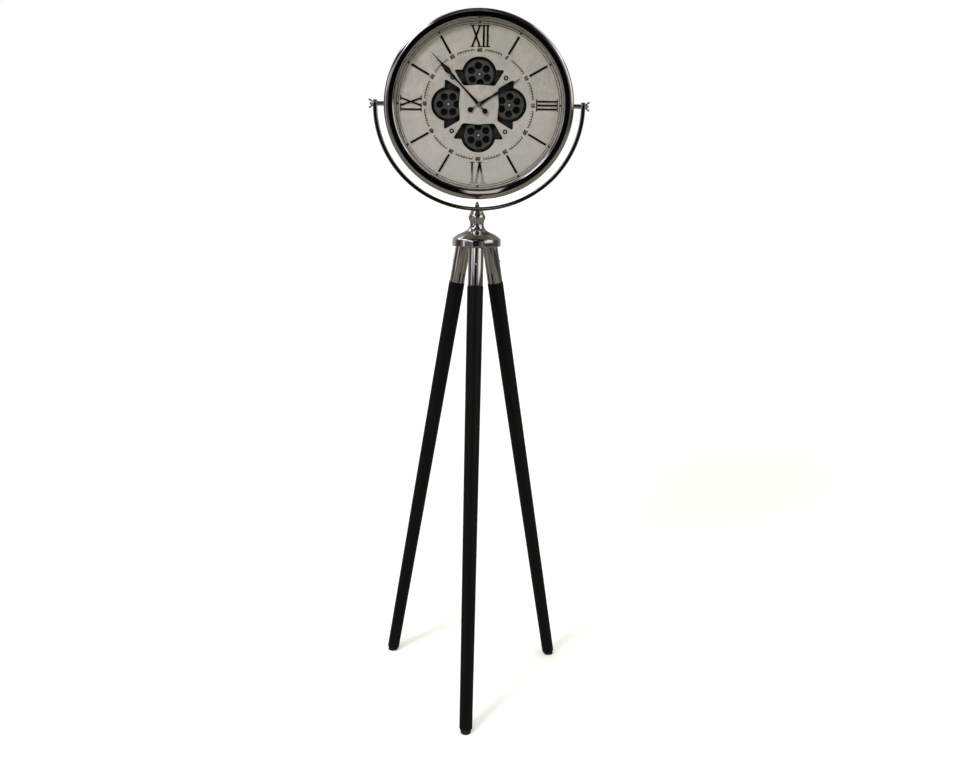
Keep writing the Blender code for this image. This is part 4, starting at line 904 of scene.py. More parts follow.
@dataclass
class Stand:
    """The cap with its column, the three legs with their ferrules and feet, and the nut on the column."""

    cap_base: float = 1.088
    column_height: float = 0.0858
    cap_radius: float = 0.0597
    cap_wall: float = 0.002
    cap_rim: float = 0.008
    cap_rounding: float = 0.0006
    recess_depth: float = 0.0115
    bolt_bore: float = 0.0033
    top_edge: float = 0.0004
    hub_ring: float = 0.0372
    hub_base: float = 1.0922
    foot_ring: float = 0.238
    ferrule_radius: float = 0.0186
    ferrule_bore: float = 0.0174
    ferrule_top: float = 0.0037
    ferrule_end: float = 0.0986
    ferrule_edge: float = 0.0005
    leg_top_radius: float = 0.0196
    leg_foot_radius: float = 0.0148
    leg_start: float = 0.0989
    leg_rings: int = 40
    spigot_top: float = 0.033
    spigot_gap: float = 0.0003
    spigot_edge: float = 0.0004
    shoulder_edge: tuple = (0.0012, 0.0014)
    foot_edge: tuple = ((0.0, 0.002), (0.0006, 0.0007), (0.002, 0.0))
    pad_radius: float = 0.0118
    pad_height: float = 0.0068
    pad_reach: float = 0.012
    screw_ring: float = 0.0453
    screw_shank: tuple = (0.0018, 0.010, 0.0189)
    screw_head: tuple = (0.0034, 0.0040)
    screw_seat: float = 0.0194
    slot_size: tuple = (0.0009, 0.009, 0.0030)
    slot_height: float = 0.0240
    acorn_seat: float = 1.1836
    acorn_corner: float = 0.0058
    acorn_steps: int = 72
    acorn_body: tuple = (
        (0.0052, 0.0), (0.0055, 0.0003), (0.0070, 0.0006), (0.0070, 0.0030), (0.0054, 0.0048),
        (0.0047, 0.0052),
    )
    acorn_dome: tuple = (0.0047, 0.0078)
    acorn_dome_start: float = 0.08
    outline: tuple = (
        (0.165, 1.0), (0.20, 0.985), (0.235, 0.94), (0.29, 0.83), (0.345, 0.70), (0.385, 0.56),
        (0.43, 0.44), (0.49, 0.352), (0.56, 0.303), (0.63, 0.284), (0.70, 0.30), (0.755, 0.33),
        (0.815, 0.357), (0.87, 0.335), (0.93, 0.29), (1.0, 0.245),
    )

    @property
    def splay(self) -> float:
        """Return how far the legs lean out, from the hub's base down to the feet."""
        return math.atan2(self.foot_ring - self.hub_ring, self.hub_base)

    @property
    def leg_length(self) -> float:
        """Return the leg axis's length from the hub's base to the floor."""
        return self.hub_base / math.cos(self.splay)

    def leg_turn(self, number: int) -> float:
        """Return a leg's turn about the column, the first at the front."""
        return FULL_TURN * (number - 1) / 3

    def leg_place(self, number: int) -> Matrix:
        """Return where a leg's own frame stands, whose axis runs down along its local -Z.

        Args:
            number: the leg, counted from 1.

        Returns:
            The frame's place.
        """
        turn = self.leg_turn(number)
        origin = (self.hub_ring * math.sin(turn), AXIS_Y - self.hub_ring * math.cos(turn), self.hub_base)
        return Matrix.Translation(origin) @ Euler((-self.splay, 0, turn)).to_matrix().to_4x4()

    def build_column(self) -> None:
        """The rim rises straight, is rounded over, and flows in and up into the waisted neck with its collar.

        The outline gives each point's height and radius as shares. The rim's line has its open ends left out.
        """
        wide, high, inner = self.cap_radius, self.column_height, self.cap_radius - self.cap_wall
        shares = np.array(self.outline)
        outer = np.concatenate([shares[:1], flowing(shares[1:], 6)])[:, ::-1] * (wide, high)
        rim = softened(((inner, 0.0), (wide, 0.0), (wide, self.cap_rim)), self.cap_rounding)
        top = ((shares[-1, 1] * wide - self.top_edge, high), (self.bolt_bore, high))
        inside = ((self.bolt_bore, self.recess_depth), (inner, self.recess_depth))
        profile = np.concatenate([rim[2:-3], outer, top, inside])
        Piece("cap_column", "stand", "chrome", CHROME, ("tripod_head",)).add(
            lathe(profile), Matrix.Translation((0, AXIS_Y, self.cap_base)))

    def build_ferrule(self, number: int) -> None:
        """A thin sleeve whose ends are rounded.

        Args:
            number: the leg that it holds.
        """
        sleeve = washer((self.ferrule_bore, self.ferrule_radius), (-self.ferrule_end, -self.ferrule_top),
                        self.ferrule_edge, 4, 128)
        Piece(f"ferrule_sleeve_{number}", "stand", "chrome", CHROME, (f"ferrule_{number}",)).add(
            sleeve, self.leg_place(number))

    def build_leg(self, number: int) -> None:
        """A turned leg that swells out of its ferrule and tapers evenly to a chamfered end, on a rubber foot.

        Args:
            number: the leg, counted from 1.
        """
        place, end, start = self.leg_place(number), -self.leg_length + self.pad_height, -self.leg_start
        spigot, wide = self.ferrule_bore - self.spigot_gap, self.leg_top_radius
        inset, drop = self.shoulder_edge
        above = np.array(((0.0, -self.spigot_top), (spigot, -self.spigot_top),
                          (spigot, start + self.spigot_edge), (wide - inset, start), (wide, start - drop)))
        below = [(self.leg_foot_radius - step, end + rise) for step, rise in self.foot_edge]
        below = np.array(below + [(0.0, end)])
        share = np.linspace(0, 1, self.leg_rings)[1:-1, None]
        long_side = above[-1] + (below[0] - above[-1]) * share
        Piece(f"turned_leg_{number}", "stand", "black_wood", LEG_LACQUER, (f"leg_{number}",)).add(
            lathe(np.concatenate([above, long_side, below]), 96, False), place)
        self.build_pad(number, place, end)

    def build_pad(self, number: int, place: Matrix, end: float) -> None:
        """A round pad whose lower points are drawn back along the leg's axis to the floor.

        Args:
            number: the leg that stands on it.
            place: the leg's own frame.
            end: where the leg ends in that frame.
        """
        wide, low = self.pad_radius, end - self.pad_reach
        side = np.linspace((wide, end), (wide, low), 6)
        shape = lathe(np.concatenate([[(0.0, end)], side, [(0.0, low)]]), 64, False).placed(place)
        axis = np.array(place.to_3x3() @ Vector((0, 0, 1)))
        under = np.minimum(shape.points[:, 2:3], 0.0)
        shape = Shape(shape.points - under / axis[2] * axis, shape.faces)
        Piece(f"rubber_foot_{number}", "stand", "rubber", FOOT_RUBBER, (f"foot_pad_{number}",)).add(shape)

    def build_acorn(self) -> None:
        """A cap nut: six flats below, chamfered, and a dome above.

        The radius at turn t is apothem / cos(t within its flat), capped by a circle that narrows with height.
        """
        turn = np.linspace(0, FULL_TURN, self.acorn_steps, endpoint=False)
        apothem = self.acorn_corner * math.cos(math.pi / 6)
        flats = apothem / np.cos((turn % (math.pi / 3)) - math.pi / 6)
        body, (wide, rise) = np.array(self.acorn_body), self.acorn_dome
        bend = np.linspace(self.acorn_dome_start, 1, 10) * QUARTER
        caps = np.concatenate([body[:, 0], wide * np.cos(bend)])
        heights = np.concatenate([body[:, 1], body[-1, 1] + rise * np.sin(bend)])
        radius = np.minimum(flats[None, :], caps[:, None])
        rings = np.broadcast_arrays(radius * np.cos(turn), radius * np.sin(turn), heights[:, None])
        rings = np.stack(rings, axis=-1)
        points = np.concatenate([np.zeros((1, len(turn), 3)), rings]).reshape(-1, 3)
        shape = Shape(points, grid_faces(len(heights) + 1, len(turn), False, True))
        Piece("cap_nut", "stand", "chrome", CHROME, ("acorn_nut",)).add(
            shape, Matrix.Translation((0, AXIS_Y, self.acorn_seat)))

    def build_screw(self, number: int) -> None:
        """A domed slotted screw that holds the ferrule, level and pointing out of it.

        Args:
            number: the leg that it belongs to.
        """
        low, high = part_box(f"ferrule_screw_{number}")
        turn = self.leg_turn(number)
        out = Vector((math.sin(turn), -math.cos(turn), 0))
        centre = Vector((0, AXIS_Y, 0)) + out * self.screw_ring
        centre.z = (low[2] + high[2]) / 2
        place = Matrix.Translation(centre) @ out.to_track_quat("Z", "Y").to_matrix().to_4x4()
        shape = headed(self.screw_shank, self.screw_head, self.screw_seat, 40)
        mesh = welded(shape, f"sleeve_screw_{number}")
        slot = box_shape(self.slot_size, (0, 0, self.slot_height))
        Piece(f"sleeve_screw_{number}", "stand", "chrome", CHROME, (f"ferrule_screw_{number}",)).add(
            cut_away(mesh, slot), place)

    def build(self) -> None:
        """Build the stand's pieces and finish the hub and bolt that stay as packed."""
        self.build_column()
        for number in (1, 2, 3):
            self.build_ferrule(number)
            self.build_leg(number)
            self.build_screw(number)
        self.build_acorn()
        refinish("leg_hub", PLATE_PAINT)
        refinish("swivel_bolt", STEEL)


@dataclass
class Yoke:
    """The half-ring strip that holds the clock between its two ends."""

    inner_radius: float = 0.2496
    thickness: float = 0.0092
    width: float = 0.020
    edge: float = 0.0016
    bore: float = 0.0033
    bore_reach: float = 0.27
    bolt_bore_start: float = 0.24
    bend_steps: int = 192
    tip_steps: int = 11
    tip_share: float = 0.985

    def build(self) -> None:
        """A rounded rectangle carried round the half ring and up past the pivots, where it closes round.

        At arc angle a from straight down the middle lies at radius (sin a, -cos a). Past the pivots it rises
        straight, and the half width there is the half circle's: cosine of the share of a quarter turn.
        """
        half, middle, side = self.width / 2, self.inner_radius + self.thickness / 2, self.thickness / 2
        bend = np.linspace(-QUARTER, QUARTER, self.bend_steps + 1)
        tip = np.linspace(0, 1, self.tip_steps + 1)[1:] * QUARTER * self.tip_share
        still = np.full(self.tip_steps, QUARTER)
        angle = np.concatenate([-still, bend, still])
        rise = np.concatenate([half * np.sin(tip[::-1]), np.zeros(len(bend)), half * np.sin(tip)])
        wide = np.concatenate([half * np.cos(tip[::-1]), np.full(len(bend), half), half * np.cos(tip)])
        section = softened(((-half, -side), (half, -side), (half, side), (-half, side)), self.edge, 4)
        across = section[None, :, 0] * (wide / half)[:, None]
        radial = middle + section[None, :, 1]
        x = radial * np.sin(angle)[:, None]
        z = -radial * np.cos(angle)[:, None] + rise[:, None]
        mesh = welded(swept(np.stack([x, across, z], axis=-1)), "yoke_strip")
        bores = cylinder(self.bore, -self.bore_reach, self.bore_reach)
        bores = bores.placed(Matrix.Rotation(QUARTER, 4, "Y"))
        mesh = cut_away(cut_away(mesh, bores), cylinder(self.bore, -self.bore_reach, -self.bolt_bore_start))
        Piece("yoke_strip", "yoke", "chrome", CHROME, ("yoke",)).add(
            mesh, Matrix.Translation((0, AXIS_Y, CLOCK_HEIGHT)))


@dataclass
class Pivots:
    """The two studs that carry the case in the yoke, and the wing nut on each."""

    stud_radius: float = 0.003
    stud_end: float = 0.2673
    stud_edge: float = 0.0005
    sleeve_radius: float = 0.0055
    sleeve_start: float = 0.2153
    sleeve_end: float = 0.2490
    sleeve_edge: float = 0.0003
    flange_radius: float = 0.008
    flange_back: float = 0.2108
    flange_front: float = 0.2128
    flange_edge: float = 0.0002
    bore: float = 0.0033
    hub_radius: float = 0.0062
    hub_height: float = 0.006
    hub_taper: float = 0.8
    hub_foot: float = 0.0009
    hub_edge: float = 0.0004
    seat: float = 0.2591
    wing_half: float = 0.012
    wing_height: float = 0.0112
    wing_thickness: float = 0.0026
    wing_edge: float = 0.0007
    wing_root: tuple = (0.0004, 0.0006, 0.0050)
    wing_lower: tuple = ((0.0060, 0.0008), (0.0088, 0.0040))
    wing_upper: tuple = ((0.0058, 0.0066), (0.0044, 0.0053))
    tip_radius: float = 0.0026
    tip_arc: tuple = (math.radians(-48), math.radians(158))
    lean: float = math.radians(12)

    def build_stud(self, side: Side) -> None:
        """A stud along X with a chamfered tail, a sleeve between yoke and case, and a flange inside the case.

        Args:
            side: the end of the tilt axis.
        """
        thin, end, edge = self.stud_radius, self.stud_end, self.stud_edge
        sleeve, near, far, trim = self.sleeve_radius, self.sleeve_start, self.sleeve_end, self.sleeve_edge
        flange, back, front, lip = self.flange_radius, self.flange_back, self.flange_front, self.flange_edge
        profile = (
            (0, end), (thin - edge, end), (thin, end - edge), (thin, far), (sleeve - trim, far),
            (sleeve, far - trim), (sleeve, near + trim), (sleeve - trim, near), (thin, near), (thin, front),
            (flange - lip, front), (flange, front - lip), (flange, back + lip), (flange - lip, back),
            (0, back),
        )
        place = HEAD_PLACE @ Matrix.Rotation(QUARTER * side.value, 4, "Y")
        Piece(f"tilt_stud_{side.label}", "clock", "chrome", CHROME, (f"pivot_stud_{side.label}",)).add(
            lathe(profile, 64, False), place)

    def wing_outline(self) -> np.ndarray:
        """Return one wing's outline: it swells out of the hub, narrows, and ends in a round tip.

        Returns:
            The outline's points, outwards from the axis and up from the nut's seat.
        """
        middle = (self.wing_half - self.tip_radius, self.wing_height - self.tip_radius)
        tip = arc_points(self.tip_radius, *self.tip_arc, 14, middle)
        inset, low, high = self.wing_root
        lower = flowing(((self.bore + inset, low), *self.wing_lower, tuple(tip[0])), 5)
        upper = flowing((tuple(tip[-1]), *self.wing_upper, (self.bore + inset, high)), 5)
        return np.concatenate([lower[:-1], tip, upper[1:]])

    def build_wing_nut(self, side: Side) -> None:
        """A tapered hub with a rounded top and two cast wings, one up and one down.

        Args:
            side: the end of the tilt axis.
        """
        top, wide = self.hub_height, self.hub_radius
        hub = softened(((self.bore, top), (wide * self.hub_taper, top), (wide, self.hub_foot), (wide, 0),
                        (self.bore, 0)), self.hub_edge, 3)
        blades, outline = [], self.wing_outline()
        for flat in (outline, (outline * (-1, 1))[::-1]):
            blade = sheet_shape([flat], -self.wing_thickness / 2, self.wing_thickness / 2, self.wing_edge, 3)
            turned = Euler((QUARTER, 0, QUARTER + side.value * self.lean)).to_matrix().to_4x4()
            blades.append(blade.placed(turned))
        place = (HEAD_PLACE @ Matrix.Translation((side.value * self.seat, 0, 0))
                 @ Matrix.Rotation(QUARTER * side.value, 4, "Y"))
        Piece(f"winged_nut_{side.label}", f"wing_nut_{side.label}", "chrome", CHROME,
              (f"wing_nut_{side.label}",)).add(lathe(hub, 64).joined(*blades), place)

    def build(self) -> None:
        """Build both sides."""
        for side in Side:
            self.build_stud(side)
            self.build_wing_nut(side)


@dataclass
class Case:
    """The chrome bezel, the drum behind it, the glass, the slanted ring under it and the rear cover."""

    bezel_radius: float = 0.230
    sight_radius: float = 0.2045
    roll_width: float = 0.0050
    roll_depth: float = 0.0048
    shoulder: float = 0.011
    bezel_wall: float = 0.0015
    bezel_base: float = 0.0265
    spring: float = 0.0275
    rise: float = 0.0078
    crown: float = 0.00002
    skirt: float = 0.0180
    skirt_edge: float = 0.0004
    skirt_gap: float = 0.0003
    drum_radius: float = 0.219
    drum_wall: float = 0.0015
    drum_front: float = 0.0225
    drum_step: float = 0.0075
    drum_edge: float = 0.0005
    rear_radius: float = 0.215
    rear_opening: float = 0.203
    rear_bend: float = -0.031
    rear_chamfer: float = 0.0025
    rear_inner_bend: tuple = (0.0031, -0.0304)
    rear_depth: float = -0.0335
    glass_radius: float = 0.2168
    glass_back: float = 0.0232
    glass_front: float = 0.0262
    glass_edge: float = 0.0005
    rehaut_foot: float = 0.2020
    rehaut_rim: float = 0.2172
    rehaut_back: float = 0.0126
    rehaut_front: float = 0.0229
    rehaut_edge: float = 0.0004
    cover_front: float = -0.0302
    cover_back: float = -0.0317
    cover_rim: float = 0.211
    cover_opening: float = 0.0700
    cover_bead: float = 0.0012
    cover_edge: float = 0.0003
    rib_start: float = 0.0745
    rib_end: float = 0.2085
    rib_height: float = 0.0004
    ribs: int = 9
    cover_screws: int = 6
    screw_ring: float = 0.196
    screw_head: tuple = (0.0036, 0.0012)
    screw_back: float = -0.0006
    screw_lift: float = 0.0002
    cross_size: tuple = (0.0009, 0.0042, 0.0012)

    def build_bezel(self) -> None:
        """The front ring: an inner roll, a nearly flat face, a rounded shoulder and a skirt, hollow behind.

        The roll and the shoulder are quarter ellipses: a point at angle t lies cosine and sine of t times the
        two reaches from their middles. The face between them rises by a sine, to a fiftieth of a millimetre.
        """
        wall, crest, rim, drum = self.bezel_wall, self.spring + self.rise, self.bezel_radius, self.drum_radius
        inside, outside = self.sight_radius + self.roll_width, rim - self.shoulder
        turn, share = np.linspace(0, QUARTER, 25), np.linspace(0, 1, 9)[1:-1]

        def roll(inset: float) -> np.ndarray:
            """Return the roll's line, from its foot to the face, inset by a wall."""
            return np.stack([inside - (self.roll_width - inset) * np.cos(turn),
                             crest - self.roll_depth + (self.roll_depth - inset) * np.sin(turn)], axis=1)

        def shoulder(inset: float) -> np.ndarray:
            """Return the shoulder's line, from the face to the rim, inset by a wall."""
            return np.stack([outside + (self.shoulder - inset) * np.sin(turn),
                             self.spring + (self.rise - inset) * np.cos(turn)], axis=1)

        face = np.stack([inside + (outside - inside) * share,
                         crest + self.crown * np.sin(math.pi * share)], axis=1)
        foot = np.array(((rim, self.skirt + self.skirt_edge), (rim - self.skirt_edge, self.skirt),
                         (drum + self.skirt_gap, self.skirt), (drum + self.skirt_gap, self.skirt + wall),
                         (rim - wall, self.skirt + wall)))
        base = np.array(((self.sight_radius + wall, self.bezel_base), (self.sight_radius, self.bezel_base)))
        back = (shoulder(wall)[::-1], roll(wall)[::-1], base)
        profile = np.concatenate([roll(0), face, shoulder(0), foot, *back])
        Piece("front_bezel", "clock", "chrome", BEZEL_CHROME, ("bezel_ring",)).add(
            lathe(profile, 288), HEAD_PLACE)

    def build_drum(self) -> None:
        """The stepped shell behind the bezel, with a chamfered and flanged rear edge."""
        wide, narrow, wall = self.drum_radius, self.rear_radius, self.drum_wall
        line = ((wide, self.drum_front), (wide, self.drum_step), (narrow, self.drum_step),
                (narrow, self.rear_bend), (narrow - self.rear_chamfer, self.rear_depth),
                (self.rear_opening, self.rear_depth))
        inset, bend = self.rear_inner_bend
        inner = ((self.rear_opening, self.rear_depth + wall), (narrow - inset, self.rear_depth + wall),
                 (narrow - wall, bend), (narrow - wall, self.drum_step + wall),
                 (wide - wall, self.drum_step + wall), (wide - wall, self.drum_front))
        Piece("case_shell", "clock", "chrome", CHROME, ("case_drum",)).add(
            lathe(softened(line + inner, self.drum_edge, 3), 256), HEAD_PLACE)

    def build_front(self) -> None:
        """The pane with ground edges and the slanted ring that leads down to the dial."""
        wide, front, back, edge = self.glass_radius, self.glass_front, self.glass_back, self.glass_edge
        pane = ((0, front), (wide - edge, front), (wide, front - edge), (wide, back + edge),
                (wide - edge, back), (0, back))
        Piece("front_pane", "clock", "glass", PANE, ("front_glass",)).add(lathe(pane, 192, False), HEAD_PLACE)
        ring = softened(((self.sight_radius, self.rehaut_front), (self.rehaut_rim, self.rehaut_front),
                         (self.rehaut_rim, self.rehaut_back), (self.rehaut_foot, self.rehaut_back)),
                        self.rehaut_edge, 3)
        Piece("slanted_ring", "clock", "rehaut_paint", REHAUT_PAINT, ("rehaut_ring",)).add(
            lathe(ring, 256), HEAD_PLACE)

    def build_cover(self) -> None:
        """The moulded rear cover: a bead round its opening, and ribs whose height follows a cosine."""
        front, back, opening = self.cover_front, self.cover_back, self.cover_opening
        radii = np.linspace(self.rib_start, self.rib_end, 120)
        wave = np.cos((radii - self.rib_start) / (self.rib_end - self.rib_start) * FULL_TURN * self.ribs)
        face = np.stack([radii, back + self.rib_height * (0.5 + 0.5 * wave)], axis=1)
        bead, edge = opening + self.cover_bead, self.cover_edge
        rest = ((self.cover_rim, back), (self.cover_rim, front), (bead, front), (opening, front - edge),
                (opening, back + edge), (bead, back))
        Piece("rear_cover", "clock", "moulded_black", MOULDED_BLACK, ("back_cover",)).add(
            lathe(np.concatenate([face, rest]), 192), HEAD_PLACE)

    def build_cover_screw(self, number: int) -> None:
        """A low domed screw with a cross slot, its head to the rear.

        Args:
            number: which of the screws, counted from 1.
        """
        name, (wide, high) = f"cover_screw_{number}", self.screw_head
        x, y = clock_polar(self.screw_ring, FULL_TURN * (number - 0.5) / self.cover_screws)
        head = np.concatenate([[(0, self.screw_back), (wide, self.screw_back)], dome(wide, high, 0, 6)])
        cross = box_shape(self.cross_size, (0, 0, high))
        mesh = cut_away(welded(lathe(head, 32, False), name), cross)
        mesh = cut_away(mesh, cross.placed(Matrix.Rotation(QUARTER, 4, "Z")))
        place = HEAD_PLACE @ Matrix.Translation((x, y, self.cover_back + self.screw_lift))
        Piece(name, "clock", "steel", SCREW_STEEL).add(mesh, place @ Matrix.Rotation(math.pi, 4, "Y"))

    def build(self) -> None:
        """Build the case's pieces."""
        self.build_bezel()
        self.build_drum()
        self.build_front()
        self.build_cover()
        for number in range(1, self.cover_screws + 1):
            self.build_cover_screw(number)


@dataclass
class Dial:
    """The dial board with its four gear windows, its print, its raised markers and its four screws."""

    radius: float = 0.2172
    back: float = 0.0093
    front: float = 0.0123
    edge: float = 0.0002
    bush_bore: float = 0.0043
    screw_bore: float = 0.0018
    window_arc: float = 0.0421
    wheel_ring: float = 0.074
    ear: tuple = (1.47, 0.235)
    corner: tuple = (0.92, -0.677)
    inner: float = -0.613
    ear_rounding: float = 0.0078
    corner_rounding: float = 0.0052
    rounding_steps: int = 7
    idler_ring: float = 0.0917
    # how wide the black strip is that paints the board's shadow inside each window
    reveal: float = 0.0018
    ink_low: float = 0.00001
    ink_high: float = 0.00006
    track_lines: tuple = ((0.1961, 0.0014), (0.2010, 0.0015))
    track_minute: tuple = (0.1966, 0.2004, 0.0008)
    comb_line: tuple = (0.1330, 0.0030)
    comb_span: tuple = (0.95, 4.05)
    comb_ticks: tuple = (1, 1.5, 2, 2.5, 3, 3.5, 4)
    comb_tick: tuple = (0.1280, 0.1320, 0.0021)
    square: tuple = (0.1960, 0.2011, 0.0052)
    square_height: float = 0.0005
    square_edge: float = 0.0002
    number_size: float = 0.0116
    number_boldness: float = 0.0010
    number_thickness: float = 0.000025
    number_lift: float = 0.000035
    number_ring: float = 0.1312
    marker_middle: float = 0.16525
    marker_low: float = 0.0126
    marker_high: float = 0.0146
    baton_length: float = 0.050
    baton_width: float = 0.0058
    baton_edge: float = 0.0008
    numeral_length: float = 0.0525
    stroke: float = 0.0046
    stroke_edge: float = 0.0007
    stroke_step: float = 0.00003
    letter_width: float = 0.023
    letter_gap: float = 0.0048
    serif_width: float = 0.012
    serif_height: float = 0.0022
    serif_drop: float = 0.0004
    serif_edge: float = 0.0003
    screw_shank: tuple = (0.0015, 0.0054, 0.0126)
    screw_head: tuple = (0.0025, 0.0009)
    screw_seat: float = 0.0139
    slot_size: tuple = (0.0076, 0.0013, 0.0018)
    slot_height: float = 0.0147
    slot_turns: tuple = (0, 80, -40, 20)
    # the black ring that paints the shadow round each dial screw's head
    washer_radii: tuple = (0.0027, 0.0058)
    washer_depths: tuple = (0.0124, 0.0132)
    washer_edge: float = 0.0003
    letters: dict = field(default_factory=lambda: {
        Hour.TWELVE: "XII", Hour.THREE: "III", Hour.SIX: "VI", Hour.NINE: "IX"})

    def window(self, hour: Hour) -> np.ndarray:
        """Return one window's outline: an arc round its wheel, two pointed ears and a blunt foot.

        Args:
            hour: the window's hour.

        Returns:
            The closed outline's points on the dial.
        """
        reach, steps = self.window_arc, self.rounding_steps
        ear, foot = np.array(self.ear) * reach, np.array(self.corner) * reach
        shoulder_turn = math.asin(self.ear[1])
        crown = arc_points(reach, QUARTER, shoulder_turn, 28)
        shoulder = np.array((reach * math.cos(shoulder_turn), ear[1]))
        sharp = np.array((shoulder, ear, foot, (0, foot[1]), (0, 0)))
        rounded = softened(sharp, (0, self.ear_rounding, self.corner_rounding, 0, 0), steps)
        bend = rounded.reshape(len(sharp), steps + 1, 2)[1:3].reshape(-1, 2)
        right = np.concatenate([crown, bend])
        left = right[::-1][:-1] * (-1, 1)
        outline = np.concatenate([right, [(0, reach * self.inner)], left]) + (0, self.wheel_ring)
        cos, sin = math.cos(hour.value * QUARTER), math.sin(hour.value * QUARTER)
        x, y = outline[:, 0], outline[:, 1]
        return np.stack([x * cos + y * sin, y * cos - x * sin], axis=1)

    def build_board(self) -> None:
        """The board: a disc with the four windows and the hands' bush hole, its edges slightly rounded."""
        places = [clock_polar(self.idler_ring, QUARTER * (index + 0.5)) for index in range(4)]
        holes = [circle_line(self.screw_bore, 16, place) for place in places]
        outlines = [circle_line(self.radius, 240), circle_line(self.bush_bore, 32), *holes]
        outlines += [self.window(hour) for hour in Hour]
        Piece("dial_board", "clock", "dial_paper", DIAL_BOARD, ("dial",)).add(
            sheet_shape(outlines, self.back, self.front, self.edge, 1), HEAD_PLACE)

    def build_reveals(self) -> None:
        """A painted shadow in each window: a black strip along each outline, offset inwards along its normal,
        for the board's shadow on the recessed wheels.
        """
        for hour in Hour:
            line = self.window(hour)
            along = np.roll(line, -1, axis=0) - np.roll(line, 1, axis=0)
            along = along / np.linalg.norm(along, axis=1, keepdims=True)
            inset = line + np.stack([along[:, 1], -along[:, 0]], axis=1) * self.reveal
            deep = np.full((len(line), 1), self.back + self.edge)
            shallow = np.full((len(line), 1), self.front - self.edge)
            pairs = ((line, deep), (line, shallow), (inset, shallow), (inset, deep))
            rings = np.stack([np.concatenate(pair, axis=1) for pair in pairs], axis=1)
            shape = Shape(rings.reshape(-1, 3), grid_faces(len(line), 4, True, True))
            # painted shadow: a black strip inside each window's edge
            Piece(f"window_reveal_{hour.label}", "clock", "plate_black", PAINTED_SHADOW_BLACK).add(shape, HEAD_PLACE)

    def printed_ring(self, radius: float, width: float, start: float = 0.0, end: float = FULL_TURN) -> Shape:
        """Return a printed arc line: a strip, hardly raised, between two turns from 12.

        Args:
            radius: the middle of the line.
            width: how wide it is.
            start: the turn where it starts.
            end: the turn where it ends.

        Returns:
            The closed strip.
        """
        low, high = self.front + self.ink_low, self.front + self.ink_high
        inner, outer = radius - width / 2, radius + width / 2
        steps = max(2, round((end - start) / math.radians(1.5)))
        turn = np.linspace(start, end, steps + 1)
        rows = []
        for reach, depth in ((inner, low), (outer, low), (outer, high), (inner, high)):
            x, y = clock_polar(reach, turn)
            rows.append(np.stack([x, y, np.full_like(x, depth)], axis=1))
        stations = np.stack(rows, axis=1)
        if end - start == FULL_TURN:
            return Shape(stations[:-1].reshape(-1, 3), grid_faces(steps, 4, True, True))
        return swept(stations)

    def printed_line(self, turn: float, inner: float, outer: float, width: float) -> Shape:
        """Return a printed radial line."""
        return bar(clock_polar(inner, turn), clock_polar(outer, turn), width, self.front + self.ink_low,
                   self.front + self.ink_high, 0.0)

    def build_print(self) -> None:
        """The railway minute track, its five-minute squares, and the broken inner ring with its ticks."""
        minute = FULL_TURN / 60
        track = [self.printed_ring(*line) for line in self.track_lines]
        track += [self.printed_line(minute * index, *self.track_minute) for index in range(60)]
        Piece("minute_track", "clock", "dial_paper", PRINT_INK).add(track[0].joined(*track[1:]), HEAD_PLACE)
        comb, squares = [], []
        for hour in range(12):
            start, end = (minute * (5 * hour + share) for share in self.comb_span)
            comb.append(self.printed_ring(*self.comb_line, start, end))
            turns = [minute * (5 * hour + tick) for tick in self.comb_ticks]
            comb += [self.printed_line(turn, *self.comb_tick) for turn in turns]
            inner, outer = (clock_polar(reach, minute * 5 * hour) for reach in self.square[:2])
            squares.append(bar(inner, outer, self.square[2], self.front + self.ink_high,
                               self.front + self.square_height, self.square_edge))
        Piece("inner_comb", "clock", "dial_paper", COMB_INK).add(comb[0].joined(*comb[1:]), HEAD_PLACE)
        Piece("five_minute_squares", "clock", "dark_marker", DOT_INK).add(
            squares[0].joined(*squares[1:]), HEAD_PLACE)

    def build_minute_numbers(self) -> None:
        """The small numbers 5 to 60 that stand between the arcs of the inner ring, tops outwards."""
        shapes = []
        for hour in range(1, 13):
            turn = FULL_TURN * hour / 12
            text = bpy.data.curves.new("minute_number", "FONT")
            text.body, text.size = str(5 * hour), self.number_size
            text.align_x, text.align_y = "CENTER", "CENTER"
            text.resolution_u, text.extrude, text.offset = 3, self.number_thickness, self.number_boldness
            flat = shape_of(mesh_of(linked("minute_number", text), "minute_number"))
            x, y = clock_polar(self.number_ring, turn)
            place = Matrix.Translation((x, y, self.front + self.number_lift)) @ Matrix.Rotation(-turn, 4, "Z")
            shapes.append(flat.placed(place))
        Piece("minute_numbers", "clock", "dial_paper", PRINT_INK).add(
            shapes[0].joined(*shapes[1:]), HEAD_PLACE)

    def build_batons(self) -> None:
        """The eight plain hours' bars, bevelled."""
        inner, outer = self.marker_middle - self.baton_length / 2, self.marker_middle + self.baton_length / 2
        for hour in (1, 2, 4, 5, 7, 8, 10, 11):
            turn = hour * math.pi / 6
            shape = bar(clock_polar(inner, turn), clock_polar(outer, turn), self.baton_width, self.marker_low,
                        self.marker_high, self.baton_edge)
            Piece(f"baton_{hour}", "clock", "dark_marker", MARKER_METAL, (f"hour_baton_{hour}",)).add(
                shape, HEAD_PLACE)

    def strokes(self, letters: str) -> list:
        """Lay out a numeral's strokes, the letters side by side about the middle.

        Args:
            letters: the numeral.

        Returns:
            Each stroke's sideways places at its outer and its inner end.
        """
        shares = {"I": ((0, 0),), "V": ((-1, 0), (1, 0)), "X": ((-1, 1), (1, -1))}
        widths = [self.stroke if letter == "I" else self.letter_width for letter in letters]
        start = -(sum(widths) + self.letter_gap * (len(letters) - 1)) / 2
        made = []
        for letter, width in zip(letters, widths):
            centre, half = start + width / 2, (width - self.stroke) / 2
            made += [(centre + half * outer, centre + half * inner) for outer, inner in shares[letter]]
            start += width + self.letter_gap
        return made

